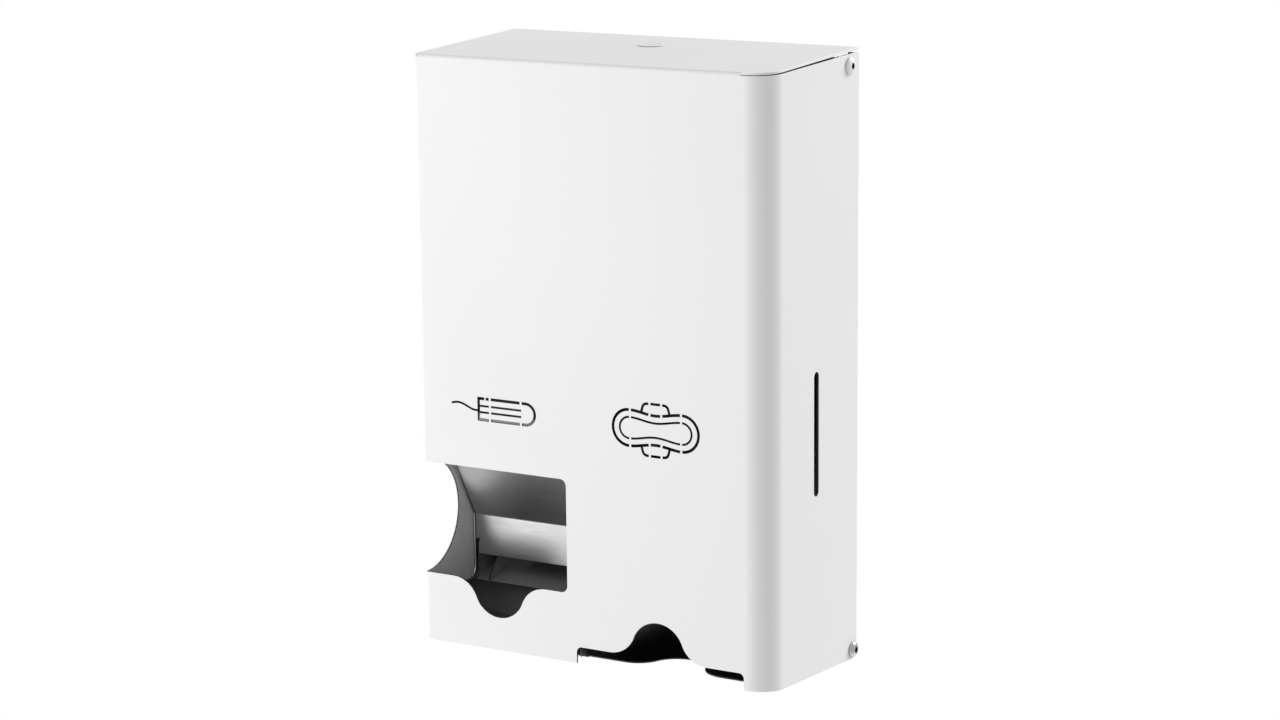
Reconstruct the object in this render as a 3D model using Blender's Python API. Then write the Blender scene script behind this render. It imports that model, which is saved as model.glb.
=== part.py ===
"""Wall-hung free-issue dispenser for tampons and pads, sheet steel.

All driving dimensions are in millimetres, measured from the outside of the
front panel (y = 0 there, the wall at y = DEPTH) and from the lower edge of the
front panel (z = 0).  The model frame is metres with its origin on the wall
plane, at the centre of the back plate: +X right, -Y out of the wall, +Z up.
"""
import math

import bmesh
import bpy
from mathutils import Matrix, Vector

# ---------------------------------------------------------------- dimensions
WIDTH = 264.0            # outside width of the cover
DEPTH = 126.0            # front panel to wall
HEIGHT = 400.0           # front panel, lower edge to top bend
ORIGIN_Z = 195.0         # height of the frame's origin above the panel's edge
SKIN = 1.5               # cover sheet
COVER_REAR = 125.4       # rear edge of the cover's sides
CORNER_R = 18.0          # right-hand vertical corner, outside radius
BEND_R = 2.6             # tight bends, outside radius
LID_RISE = 4.0           # the top flange stands open by this at the wall
SIDE_RISE = 2.8          # rise of the sides' upper edges at the wall
RELIEF_X = 111.8         # the top bend ends here, beside the large corner

HINGE_Y, HINGE_Z = 118.9, -1.8       # cover hinge screws
HINGE_CORNER = 6.5                   # cover corner round the hinge
TOP_SCREW_Y, TOP_SCREW_Z = 111.3, 393.1

WINDOW_Z0, WINDOW_Z1 = 47.4, 124.6   # tampon window
WINDOW_X1 = -19.5
WINDOW_R = 4.6
NOTCH_X = -73.1                      # finger notch below the window
ARC_Y, ARC_R = 2.7, 38.6             # half round opening in the left side
BELL_H, BELL_W, BELL_R = 24.7, 36.1, 19.5

OUTLET_X0, OUTLET_X1, OUTLET_Z = -12.7, 112.8, 11.2
PAD_X = 49.1                         # middle of the pad compartment
SIGHT_Y, SIGHT_Z0, SIGHT_Z1, SIGHT_W = 65.1, 116.7, 199.6, 6.7

FRAME_X = 130.0                      # outside of the inner frame's cheeks
FRAME_T = 1.2
BACK_Y = 124.8                       # front face of the back plate
INNER_T = 1.0                        # magazine sheets
GUARD_Y = 8.0                        # front of the magazine front plates
CHEEK_Y = 18.6                       # front edge of the right cheek
MAG_TOP = 362.0
BAND_Y, BAND_TOP, BAND_LOW = 58.2, 75.1, 46.6
CHUTE_SLOPE = 0.583                  # setback per unit of height
DIVIDER_X0, DIVIDER_X1 = -16.0, -15.0
TRAY_Y = 19.0                        # front edge of the pad tray

LOCK_X, LOCK_Y = -1.0, 86.0

CLEAR = 0.3

SLOPE = math.atan2(LID_RISE, DEPTH)


def lid_z(y):
    return HEIGHT + LID_RISE * y / DEPTH


def side_z(y):
    return HEIGHT - SKIN - 0.4 + SIDE_RISE * y / DEPTH


# ------------------------------------------------------------------ plumbing
for _o in list(bpy.data.objects):
    bpy.data.objects.remove(_o, do_unlink=True)


def P(x, y, z):
    """Millimetres from the front panel's lower edge to metres in the frame."""
    return Vector((x * 0.001, (y - DEPTH) * 0.001, (z - ORIGIN_Z) * 0.001))


def material(name, rgb, rough, metal):
    m = bpy.data.materials.new(name)
    m.use_nodes = True
    b = m.node_tree.nodes["Principled BSDF"]
    b.inputs["Base Color"].default_value = (*rgb, 1.0)
    b.inputs["Roughness"].default_value = rough
    b.inputs["Metallic"].default_value = metal
    m.diffuse_color = (*rgb, 1.0)
    return m


MATS = {
    "white": ((0.83, 0.83, 0.83), 0.42, 0.0),
    "steel": ((0.50, 0.50, 0.50), 0.36, 1.0),
    "black": ((0.02, 0.02, 0.02), 0.55, 0.0),
    "silver": ((0.62, 0.62, 0.62), 0.25, 1.0),
    "nylon": ((0.72, 0.71, 0.68), 0.55, 0.0),
    "brass": ((0.58, 0.48, 0.28), 0.32, 1.0),
}


def make(name, bm, kind, origin=None, parent=None):
    """Mesh object whose origin is at a frame point, on a parent empty if any."""
    bmesh.ops.recalc_face_normals(bm, faces=bm.faces)
    o = Vector(origin) if origin is not None else Vector((0, 0, 0))
    if parent is not None:
        inv = parent.matrix_world.inverted()
        bmesh.ops.transform(bm, matrix=inv, verts=bm.verts)
        o = Vector((0, 0, 0))
    else:
        bmesh.ops.translate(bm, vec=-o, verts=bm.verts)
    me = bpy.data.meshes.new(name)
    bm.to_mesh(me)
    bm.free()
    ob = bpy.data.objects.new(name, me)
    bpy.context.scene.collection.objects.link(ob)
    if parent is not None:
        ob.parent = parent
    else:
        ob.location = o
    if kind is not None:
        c, r, m = MATS[kind]
        me.materials.append(material(name + "_finish", c, r, m))
    return ob


def cutter(name, bm):
    ob = make(name, bm, None)
    ob.hide_render = True
    ob.display_type = "WIRE"
    return ob


def boolean(ob, tool, op="DIFFERENCE"):
    m = ob.modifiers.new(op.lower() + "_" + tool.name, "BOOLEAN")
    m.operation = op
    m.solver = "EXACT"
    m.object = tool
    return m


def prism(bm, pts, plane, a, b):
    """Extruded polygon. plane XY rises in z, XZ runs in y, YZ runs in x."""
    def v(p, h):
        if plane == "XY":
            return P(p[0], p[1], h)
        if plane == "XZ":
            return P(p[0], h, p[1])
        return P(h, p[0], p[1])
    lo = [bm.verts.new(v(p, a)) for p in pts]
    hi = [bm.verts.new(v(p, b)) for p in pts]
    n = len(pts)
    bm.faces.new(lo)
    bm.faces.new(hi[::-1])
    for i in range(n):
        j = (i + 1) % n
        bm.faces.new((lo[j], lo[i], hi[i], hi[j]))


def box(bm, x0, x1, y0, y1, z0, z1):
    prism(bm, [(x0, y0), (x1, y0), (x1, y1), (x0, y1)], "XY", z0, z1)


def arc(cx, cy, r, a0, a1, n):
    """Points on an arc, angles in degrees, ends included."""
    return [(cx + r * math.cos(math.radians(a0 + (a1 - a0) * i / n)),
             cy + r * math.sin(math.radians(a0 + (a1 - a0) * i / n)))
            for i in range(n + 1)]


def offset_line(pts, d):
    """Points moved to the left of an open polyline by d, mitred."""
    out = []
    n = len(pts)
    for i in range(n):
        if i == 0:
            t = Vector(pts[1]) - Vector(pts[0])
            t.normalize()
            out.append((pts[0][0] - t.y * d, pts[0][1] + t.x * d))
        elif i == n - 1:
            t = Vector(pts[-1]) - Vector(pts[-2])
            t.normalize()
            out.append((pts[-1][0] - t.y * d, pts[-1][1] + t.x * d))
        else:
            t0 = (Vector(pts[i]) - Vector(pts[i - 1])).normalized()
            t1 = (Vector(pts[i + 1]) - Vector(pts[i])).normalized()
            m = (t0 + t1).normalized()
            k = d / max(0.2, m.dot(t0))
            out.append((pts[i][0] - m.y * k, pts[i][1] + m.x * k))
    return out


def fillet(pts, radii, n=3):
    """Open polyline with its inner corners rounded, one radius for each."""
    out = [pts[0]]
    for i in range(1, len(pts) - 1):
        p, a, b = Vector(pts[i]), Vector(pts[i - 1]), Vector(pts[i + 1])
        r = radii[i - 1]
        u, w = (a - p).normalized(), (b - p).normalized()
        ang = math.acos(max(-1.0, min(1.0, u.dot(w))))
        t = r / math.tan(ang / 2)
        p0, p1 = p + u * t, p + w * t
        c = p + (u + w).normalized() * (r / math.sin(ang / 2))
        a0 = math.atan2(p0.y - c.y, p0.x - c.x)
        a1 = math.atan2(p1.y - c.y, p1.x - c.x)
        d = (a1 - a0 + math.pi) % (2 * math.pi) - math.pi
        out += [(c.x + r * math.cos(a0 + d * k / n), c.y + r * math.sin(a0 + d * k / n)) for k in range(n + 1)]
    out.append(pts[-1])
    return out


def sheet_path(pts, t):
    """Closed outline of a folded sheet: a polyline and its offset."""
    return list(pts) + offset_line(pts, t)[::-1]


def ribbon(pts, w):
    """Outline of a cut of width w along a polyline, with square ends."""
    return offset_line(pts, -w / 2) + offset_line(pts, w / 2)[::-1]


def lathe(bm, profile, frame, segs, closed=False):
    """Turned body: (radius, height) profile about frame's local Z.

    profile runs from the bottom to the top; an open one starts and ends on
    the axis, a closed one is a ring.
    """
    rings = []
    for r, h in profile:
        if r <= 1e-9:
            rings.append([bm.verts.new(frame @ Vector((0, 0, h * 0.001)))])
        else:
            rings.append([bm.verts.new(frame @ Vector((
                r * 0.001 * math.cos(2 * math.pi * i / segs),
                r * 0.001 * math.sin(2 * math.pi * i / segs), h * 0.001)))
                for i in range(segs)])
    pairs = list(zip(rings, rings[1:]))
    if closed:
        pairs.append((rings[-1], rings[0]))
    for a, b in pairs:
        if len(a) == 1 and len(b) == 1:
            continue
        for i in range(segs):
            j = (i + 1) % segs
            if len(a) == 1:
                bm.faces.new((a[0], b[j], b[i]))
            elif len(b) == 1:
                bm.faces.new((a[i], a[j], b[0]))
            else:
                bm.faces.new((a[i], a[j], b[j], b[i]))


def along_x(x, y, z, sign=1):
    """Frame whose local Z points along +X (or -X) from a point."""
    ax = Vector((sign, 0, 0))
    up = Vector((0, 0, 1))
    side = up.cross(ax)
    m = Matrix((side, up, ax)).transposed().to_4x4()
    m.translation = P(x, y, z)
    return m


def along_y(x, y, z, sign=1):
    ax = Vector((0, sign, 0))
    up = Vector((0, 0, 1))
    side = up.cross(ax)
    m = Matrix((side, up, ax)).transposed().to_4x4()
    m.translation = P(x, y, z)
    return m


def smooth(ob, angle=35):
    ob.data.shade_smooth()
    ob.data.set_sharp_from_angle(angle=math.radians(angle))


def bell(cx, base, up=1, n=5, grow=0.0):
    """Bell-shaped finger notch, left to right, from a straight edge."""
    r1 = BELL_R + grow
    w, h = BELL_W + grow, BELL_H + grow
    s = (w * w + h * h) / (2 * h)
    r2 = s - r1
    t = math.degrees(math.atan2(r2 - (h - r1), w))
    pts = []
    pts += [(-w + r2 * math.sin(math.radians(q)), r2 - r2 * math.cos(math.radians(q)))
            for q in [(90 - t) * i / n for i in range(n + 1)]]
    pts += [(r1 * math.sin(math.radians(q)), h - r1 + r1 * math.cos(math.radians(q)))
            for q in [-(90 - t) + 2 * (90 - t) * i / (2 * n) for i in range(1, 2 * n)]]
    pts += [(w - r2 * math.sin(math.radians(q)), r2 - r2 * math.cos(math.radians(q)))
            for q in [(90 - t) * i / n for i in range(n, -1, -1)]]
    return [(cx + u, base + up * v) for u, v in pts]


# ------------------------------------------------------------- parent empties
def empty(name, matrix, parent=None):
    e = bpy.data.objects.new(name, None)
    bpy.context.scene.collection.objects.link(e)
    e.empty_display_size = 0.02
    if parent is not None:
        e.parent = parent
        e.matrix_local = parent.matrix_world.inverted() @ matrix
    else:
        e.matrix_world = matrix
    bpy.context.view_layer.update()
    return e


COVER = empty("cover_hinge_axis", Matrix.Translation(P(0, HINGE_Y, HINGE_Z)))
LOCK_FRAME = Matrix.Translation(P(LOCK_X, LOCK_Y, lid_z(LOCK_Y))) @ Matrix.Rotation(SLOPE, 4, "X")
LOCK = empty("lock_axis", LOCK_FRAME, COVER)


# --------------------------------------------------------------- front cover
def build_cover():
    hw = WIDTH / 2
    # front panel, top bend and lid strip, one section run along X
    n = 5
    ca = BEND_R
    zc = lid_z(ca) - BEND_R
    outer = [(0.0, -12.0)] + [(ca - ca * math.cos(math.radians(q)),
                              zc + BEND_R * math.sin(math.radians(q)))
                             for q in [90.0 * i / n for i in range(n + 1)]]
    ri = BEND_R - SKIN
    inner = [(ca, lid_z(ca) - SKIN)] + [
        (ca - ri * math.sin(math.radians(q)), zc + ri * math.cos(math.radians(q)))
        for q in [90.0 * i / 3 for i in range(1, 4)]] + [(SKIN, -12.0)]
    bm = bmesh.new()
    prism(bm, outer + inner, "YZ", -hw + BEND_R, RELIEF_X)
    cover = make("front_cover", bm, "white", parent=COVER)

    # left side with its tight corner
    bm = bmesh.new()
    left_out = [(-hw + BEND_R, 0.0)] + arc(-hw + BEND_R, BEND_R, BEND_R, 270, 180, 4)[1:] + [(-hw, COVER_REAR)]
    left_in = [(-hw + SKIN, COVER_REAR)] + arc(-hw + BEND_R, BEND_R, ri, 180, 270, 3)
    prism(bm, left_out + left_in, "XY", -12.0, side_z(0))
    # the side's upper edge climbs towards the wall
    left = cutter("left_side_tool", bm)
    bm = bmesh.new()
    right_out = [(RELIEF_X, 0.0), (hw - CORNER_R, 0.0)] + arc(hw - CORNER_R, CORNER_R, CORNER_R, 270, 360, 12)[1:] + [(hw, COVER_REAR)]
    rin = CORNER_R - SKIN
    right_in = [(hw - SKIN, COVER_REAR)] + arc(hw - CORNER_R, CORNER_R, rin, 0, -90, 12) + [(RELIEF_X, SKIN)]
    prism(bm, right_out + right_in, "XY", -12.0, side_z(0))
    right = cutter("right_side_tool", bm)
    # rising strips on both sides above the corners
    bm = bmesh.new()
    for x0, x1 in ((-hw, -hw + SKIN), (hw - SKIN, hw)):
        prism(bm, [(CORNER_R, side_z(0) - 6), (COVER_REAR, side_z(0) - 6),
                   (COVER_REAR, side_z(COVER_REAR)), (CORNER_R, side_z(0))],
              "YZ", x0, x1)
    strips = cutter("side_top_tool", bm)
    # lid: the flat flange with its large corner at the right
    plan = ([(-hw + BEND_R, BEND_R), (RELIEF_X, BEND_R), (RELIEF_X, 0.25)]
            + [(hw - CORNER_R, 0.25)]
            + arc(hw - CORNER_R, CORNER_R, CORNER_R - 0.25, 270, 360, 12)[1:]
            + [(hw - 0.25, COVER_REAR), (-hw + 0.25, COVER_REAR), (-hw + 0.25, 1.2), (-hw + 1.2, 0.25), (-hw + BEND_R, 0.25)])
    bm = bmesh.new()
    lo = [bm.verts.new(P(x, y, lid_z(y) - SKIN)) for x, y in plan]
    hi = [bm.verts.new(P(x, y, lid_z(y))) for x, y in plan]
    bm.faces.new(lo)
    bm.faces.new(hi[::-1])
    for i in range(len(plan)):
        j = (i + 1) % len(plan)
        bm.faces.new((lo[j], lo[i], hi[i], hi[j]))
    lid = cutter("lid_tool", bm)
    for t in (left, right, strips, lid):
        boolean(cover, t, "UNION")

    # lower edge: level at the front, falling to the hinge corner, and clear
    # behind the hinge so that the cover turns without touching the wall
    d = math.hypot(HINGE_Y, HINGE_Z)
    fall = math.atan2(-HINGE_Z, HINGE_Y) + math.asin(HINGE_CORNER / d)
    deg = math.degrees(fall)
    hinge_arc = arc(HINGE_Y, HINGE_Z, HINGE_CORNER, 270 - deg, 360, 8)
    bm = bmesh.new()
    prism(bm, [(-6.0, 6.0 * math.tan(fall))] + hinge_arc + [(140.0, HINGE_Z), (140.0, -30.0), (-6.0, -30.0)],
          "YZ", -hw - 5, hw + 5)
    boolean(cover, cutter("lower_edge_tool", bm))

    # tampon window with its finger notch, open through the left corner
    r = WINDOW_R
    win = [(-hw - 6, WINDOW_Z0)] + bell(NOTCH_X, WINDOW_Z0, -1)
    win += [(WINDOW_X1 - r, WINDOW_Z0)] + arc(WINDOW_X1 - r, WINDOW_Z0 + r, r, 270, 360, 4)[1:]
    win += arc(WINDOW_X1 - r, WINDOW_Z1 - r, r, 0, 90, 4) + [(-hw - 6, WINDOW_Z1)]
    bm = bmesh.new()
    prism(bm, win, "XZ", -5.0, 2.2)
    boolean(cover, cutter("window_tool", bm))
    zc = (WINDOW_Z0 + WINDOW_Z1) / 2
    bm = bmesh.new()
    prism(bm, [(-6.0, WINDOW_Z0), (ARC_Y, WINDOW_Z0)] + arc(ARC_Y, zc, ARC_R, 270, 450, 18)[1:-1]
          + [(ARC_Y, WINDOW_Z1), (-6.0, WINDOW_Z1)], "YZ", -hw - 6, -hw + 6)
    boolean(cover, cutter("side_arc_tool", bm))

    # pad outlet with its finger notch, open downwards
    r = 3.6
    out = [(OUTLET_X0, -20.0), (OUTLET_X0, OUTLET_Z - r)]
    out += arc(OUTLET_X0 + r, OUTLET_Z - r, r, 180, 90, 3)[1:]
    out += bell(PAD_X, OUTLET_Z, 1)
    out += arc(OUTLET_X1 - r, OUTLET_Z - r, r, 90, 0, 3) + [(OUTLET_X1, -20.0)]
    bm = bmesh.new()
    prism(bm, out, "XZ", -5.0, 4.0)
    boolean(cover, cutter("outlet_tool", bm))

    # sight slot in the right side
    w = SIGHT_W / 2
    slot = arc(SIGHT_Y, SIGHT_Z1 - w, w, 0, 180, 8) + arc(SIGHT_Y, SIGHT_Z0 + w, w, 180, 360, 8)
    bm = bmesh.new()
    prism(bm, slot, "YZ", hw - 6, hw + 6)
    # screw holes on both sides
    for x0, x1 in ((-hw - 4, -hw + 4), (hw - 4, hw + 4)):
        prism(bm, arc(HINGE_Y, HINGE_Z, 4.5, 0, 330, 11), "YZ", x0, x1)
        prism(bm, arc(TOP_SCREW_Y, TOP_SCREW_Z, 3.4, 0, 330, 11), "YZ", x0, x1)
    # lock hole in the lid
    lathe(bm, [(0, -6), (7.8, -6), (7.8, 6), (0, 6)], LOCK_FRAME, 16)
    boolean(cover, cutter("holes_tool", bm))

    for t in pictogram_tools():
        boolean(cover, t)
    return cover


def pictogram_tools():
    """Stencil-cut information pictograms, with bridges left in each line."""
    y0, y1 = -2.0, SKIN + 2.0

    def tool(name, strokes, w):
        bm = bmesh.new()
        for pts in strokes:
            prism(bm, ribbon(pts, w), "XZ", y0, y1)
        return cutter(name, bm)

    # tampon: capsule with a flat end, two grooves and a waving string
    x0, xr, zc, h = -86.3, -49.7, 165.45, 7.15
    gap_a, gap_b = (x0 + 8.0, x0 + 9.6), (xr - 4.5, xr - 2.9)
    outline = [
        [(x0 + 4.5, zc + h), (x0, zc + h), (x0, zc - h), (gap_a[0], zc - h)],
        [(x0 + 5.6, zc + h), (gap_a[0], zc + h)],
        [(gap_a[1], zc + h), (gap_b[0], zc + h)],
        [(gap_a[1], zc - h), (gap_b[0], zc - h)],
        [(gap_b[1], zc + h)] + arc(xr, zc, h, 90, -90, 8) + [(gap_b[1], zc - h)],
    ]
    grooves = []
    for s in (2.15, -2.15):
        grooves += [[(x0 + 0.3, zc + s), (gap_a[0], zc + s)], [(gap_a[1], zc + s), (xr - 3.3, zc + s)]]
    k = 9
    string = [(x0 - 21.4 + 21.0 * i / k,
               zc + 1.1 + 2.35 * math.sin(math.pi * (0.18 + 1.44 * i / k)) * (0.75 + 0.2 * i / k)) for i in range(k + 1)]
    tools = [tool("tampon_mark_tool", outline, 2.0), tool("tampon_groove_tool", grooves + [string], 1.45)]

    # pad: two nested outlines with round ends, and two side tabs
    cx, cz = PAD_X - 0.2, 165.2
    side, mid, g = 18.95, 4.35, 0.75

    def half(lobe_x, lobe_r, waist):
        a, b = (lobe_r + waist) / 2, (lobe_r - waist) / 2
        return lambda u: a - b * math.cos(math.pi * u / lobe_x)

    def along(rule, s, a, b, k):
        return [(cx + a + (b - a) * i / k, cz + s * rule(a + (b - a) * i / k)) for i in range(k + 1)]

    out_h, in_h = half(19.7, 12.0, 9.7), half(19.5, 7.1, 4.75)
    outer, inner, tabs = [], [], []
    for s in (1, -1):
        outer.append([(cx + s * (side + g), cz + 12.0)] + [(cx + s * q[0], cz + q[1]) for q in arc(19.7, 0, 12.0, 85, -85, 10)]
                     + [(cx + s * (side + g), cz - 12.0)])
        inner.append([(cx + s * q[0], cz + q[1]) for q in arc(19.5, 0, 7.1, 89, -89, 8)])
        for a, b, k in ((-side + g, -mid - g, 4), (-mid + g, mid - g, 2), (mid + g, side - g, 4)):
            outer.append(along(out_h, s, a, b, k))
        inner.append(along(in_h, s, -side + g, side - g, 10))
        tabs.append([(cx - mid + g, cz + s * 17.3), (cx + mid - g, cz + s * 17.3)])
        for e in (1, -1):
            tabs.append([(cx + e * 10.5, cz + s * 11.3), (cx + e * 9.5, cz + s * 14.4),
                         (cx + e * 8.1, cz + s * 16.4), (cx + e * 6.6, cz + s * 17.1), (cx + e * (mid + g), cz + s * 17.3)])
    tools += [tool("pad_outline_tool", outer, 2.0), tool("pad_inner_tool", inner, 1.45), tool("pad_tabs_tool", tabs, 1.8)]
    return tools


# ---------------------------------------------------------------- inner frame
def keyhole(bm, x, z):
    """Hanging slot: a round for the screw head and a narrow slot above it."""
    r, w, up = 4.6, 2.3, 11.0
    a = math.degrees(math.asin(w / r))
    pts = arc(x, z, r, 90 + a, 450 - a, 12) + arc(x, z + up, w, 0, 180, 5)
    prism(bm, pts, "XZ", 120.0, 132.0)


RIVETS = []          # (name, x, y, z, axis, low sheet face, high sheet face)


def build_frame():
    fx = FRAME_X
    bm = bmesh.new()
    plan = [(-fx, GUARD_Y), (-fx + FRAME_T, GUARD_Y), (-fx + FRAME_T, BACK_Y), (fx - FRAME_T, BACK_Y),
            (fx - FRAME_T, CHEEK_Y), (fx, CHEEK_Y), (fx, DEPTH), (-fx, DEPTH)]
    prism(bm, plan, "XY", -8.2, 400.4)
    frame = make("back_frame", bm, "steel")

    # upper edge of both cheeks: ears at the rear, lower towards the front
    bm = bmesh.new()
    prism(bm, [(0.0, 374.0), (88.0, 384.0), (99.0, 386.5), (99.0, 410.0), (0.0, 410.0)], "YZ", -fx - 3, fx + 3)
    top = cutter("frame_top_tool", bm)
    # back plate's upper edge lies below the ears
    bm = bmesh.new()
    box(bm, -fx + 6, fx - 6, 118.0, 130.0, 396.5, 412.0)
    edge = cutter("frame_edge_tool", bm)
    # open slots that take the locating screws' shanks
    bm = bmesh.new()
    prism(bm, [(90.0, TOP_SCREW_Z - 4.7)] + arc(TOP_SCREW_Y, TOP_SCREW_Z, 4.7, -90, 90, 8)
          + [(90.0, TOP_SCREW_Z + 4.7)], "YZ", -fx - 4, fx + 4)
    slots = cutter("frame_slot_tool", bm)
    # lower edge: clear of the cover's edge, down to ears round the hinge
    bm = bmesh.new()
    ear = arc(HINGE_Y, HINGE_Z, 6.3, 180, 290, 8)
    prism(bm, [(0.0, 2.2), (100.0, -3.6), (HINGE_Y - 9.5, -3.9)] + ear[1:] + [(132.0, -7.9), (132.0, -20.0), (0.0, -20.0)],
          "YZ", -fx - 3, fx + 3)
    low = cutter("frame_low_tool", bm)
    # left cheek: cut back behind the tampon window
    k = 0.7
    slope_top = BAND_TOP + (BAND_Y - GUARD_Y) / CHUTE_SLOPE
    bm = bmesh.new()
    prism(bm, [(0.0, slope_top), (GUARD_Y - k, slope_top), (BAND_Y - k, BAND_TOP)]
          + arc(BAND_Y - k - 8.0, 38.0, 8.0, 0, -90, 5) + [(0.0, 30.0)],
          "YZ", -fx - 3, -fx + 3)
    left = cutter("frame_left_tool", bm)
    # holes
    bm = bmesh.new()
    prism(bm, arc(HINGE_Y, HINGE_Z, 3.4, 0, 330, 11), "YZ", -fx - 4, -fx + 4)
    prism(bm, arc(HINGE_Y, HINGE_Z, 3.4, 0, 330, 11), "YZ", fx - 4, fx + 4)
    w = SIGHT_W / 2 + 2.0
    prism(bm, arc(SIGHT_Y, SIGHT_Z1 - w + 4, w, 0, 180, 6) + arc(SIGHT_Y, SIGHT_Z0 + w - 4, w, 180, 360, 6),
          "YZ", fx - 4, fx + 4)
    for x in (-95.0, 95.0):
        keyhole(bm, x, 370.0)
        keyhole(bm, x, 60.0)
    for name, x, y, z, axis, a, b in RIVETS:
        if axis == "Y":
            prism(bm, arc(x, z, 1.9, 0, 315, 7), "XZ", min(a, b) - 2, max(a, b) + 2)
    holes = cutter("frame_holes_tool", bm)
    for t in (top, edge, slots, low, left, holes):
        boolean(frame, t)
    return frame


def rivet_holes(name, which):
    bm = bmesh.new()
    for rn, x, y, z, axis, a, b in RIVETS:
        if rn in which:
            if axis == "X":
                prism(bm, arc(y, z, 1.9, 0, 315, 7), "YZ", min(a, b) - 2, max(a, b) + 2)
            else:
                prism(bm, arc(x, z, 1.9, 0, 315, 7), "XZ", min(a, b) - 2, max(a, b) + 2)
    return cutter(name, bm)


def names(prefix):
    return [r[0] for r in RIVETS if r[0].startswith(prefix)]


def plan_rivets():
    lo, hi = BACK_Y - 0.4 - INNER_T, DEPTH - 0.9
    for name, x, z in (("tray_rivet_1", 15.0, 8.0), ("tray_rivet_2", 90.0, 8.0),
                       ("trough_rivet_1", -105.0, 29.0), ("trough_rivet_2", -40.0, 29.0),
                       ("divider_rivet_1", -9.5, 60.0), ("divider_rivet_2", -9.5, 335.0)):
        RIVETS.append((name, x, 124.0, z, "Y", lo, hi))
    for name, y in (("keeper_rivet_1", 84.0), ("keeper_rivet_2", 97.0)):
        RIVETS.append((name, -14.0, y, 350.0, "X", DIVIDER_X0, -14.6 + 1.2))


def build_rivets():
    for name, x, y, z, axis, a, b in RIVETS:
        lo, hi = min(a, b), max(a, b)
        t = hi - lo
        bm = bmesh.new()
        # domed head on the open side, set tail on the other
        if axis == "X":
            fr = along_x(lo, y, z, 1)
            head_first = x > 120 or (-20 < x < 0)
        else:
            fr = along_y(x, lo, z, 1)
            head_first = True
        e = 0.15
        if axis == "Y":
            # flush at the wall: shank ends inside the back plate
            prof = [(0, -1.1), (1.6, -1.0), (2.7, -0.55), (2.9, -e), (1.6, -e), (1.6, t), (0, t)]
        elif head_first:
            prof = [(0, -1.1), (1.6, -1.0), (2.7, -0.55), (2.9, -e), (1.6, -e), (1.6, t + e), (2.4, t + e), (2.2, t + 0.9), (0, t + 1.0)]
        else:
            prof = [(0, -1.0), (2.2, -0.9), (2.4, -e), (1.6, -e), (1.6, t + e), (2.9, t + e), (2.7, t + 0.55), (1.6, t + 1.0), (0, t + 1.1)]
        lathe(bm, prof, fr, 10)
        ob = make(name, bm, "silver", origin=fr.translation)
        smooth(ob)


def build_divider():
    bm = bmesh.new()
    yr = BACK_Y - 0.4
    z0, z1 = 1.2, MAG_TOP
    plan = [(DIVIDER_X0, GUARD_Y + 1.8), (DIVIDER_X1, GUARD_Y + 1.8), (DIVIDER_X1, yr - INNER_T),
            (-4.0, yr - INNER_T), (-4.0, yr), (DIVIDER_X0, yr)]
    prism(bm, plan, "XY", z0, z1)
    ob = make("divider_plate", bm, "steel")
    bm = bmesh.new()
    # the rear flange stops above the tray's own flange
    box(bm, DIVIDER_X1 + 0.02, 2.0, 100.0, 130.0, -5.0, 20.0)
    # hand relief at the front top for filling
    prism(bm, [(0.0, 345.0), (30.0, 345.0), (52.0, 362.0), (52.0, 380.0), (0.0, 380.0)], "YZ", -20.0, -10.0)
    boolean(ob, cutter("divider_relief_tool", bm))
    boolean(ob, rivet_holes("divider_holes_tool",
                            names("divider_rivet") + names("keeper_rivet")))
    return ob


def build_chute():
    """Front wall of the tampon magazine, sloping back to the dispensing throat."""
    t = INNER_T
    z_bend = BAND_TOP + (BAND_Y - GUARD_Y) / CHUTE_SLOPE
    line = [(GUARD_Y, MAG_TOP - 18.0), (GUARD_Y, z_bend), (BAND_Y, BAND_TOP), (BAND_Y, BAND_LOW)]
    section = list(line) + offset_line(line, t)[::-1]
    bm = bmesh.new()
    prism(bm, section, "YZ", -FRAME_X + FRAME_T + 0.4, -16.4)
    ob = make("tampon_chute_plate", bm, "steel")
    bm = bmesh.new()
    x0 = -FRAME_X + FRAME_T + 0.4
    box(bm, x0, x0 + t, GUARD_Y + 0.5, GUARD_Y + 15.0, 190.0, 343.5)
    box(bm, -16.4 - t, -16.4, GUARD_Y + 0.5, GUARD_Y + 15.0, 190.0, 343.5)
    boolean(ob, cutter("chute_flange_tool", bm), "UNION")
    # corner relief at the left of the band, with a round end
    bm = bmesh.new()
    r, cz, edge = 1.1, 56.5, x0 + 2.0
    prism(bm, [(x0 - 3.0, 40.0), (edge, 40.0)] + arc(edge - 0.2, cz, r, -math.degrees(math.acos(0.2 / r)), 180, 8)
          + [(x0 - 3.0, cz)], "XZ", 50.0, 66.0)
    boolean(ob, cutter("chute_relief_tool", bm))
    return ob


END_X0, END_X1 = -118.6, -117.6       # end guide at the left of the throat


def trough_floor():
    """Upper face of the floor: down from the wall, a step under the band, a lip."""
    return fillet([(BACK_Y - 0.4, 41.0), (57.0, 28.0), (31.0, 15.5), (4.2, 15.5), (4.2, 44.6)], [5.0, 18.0, 9.0], 5)


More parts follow.
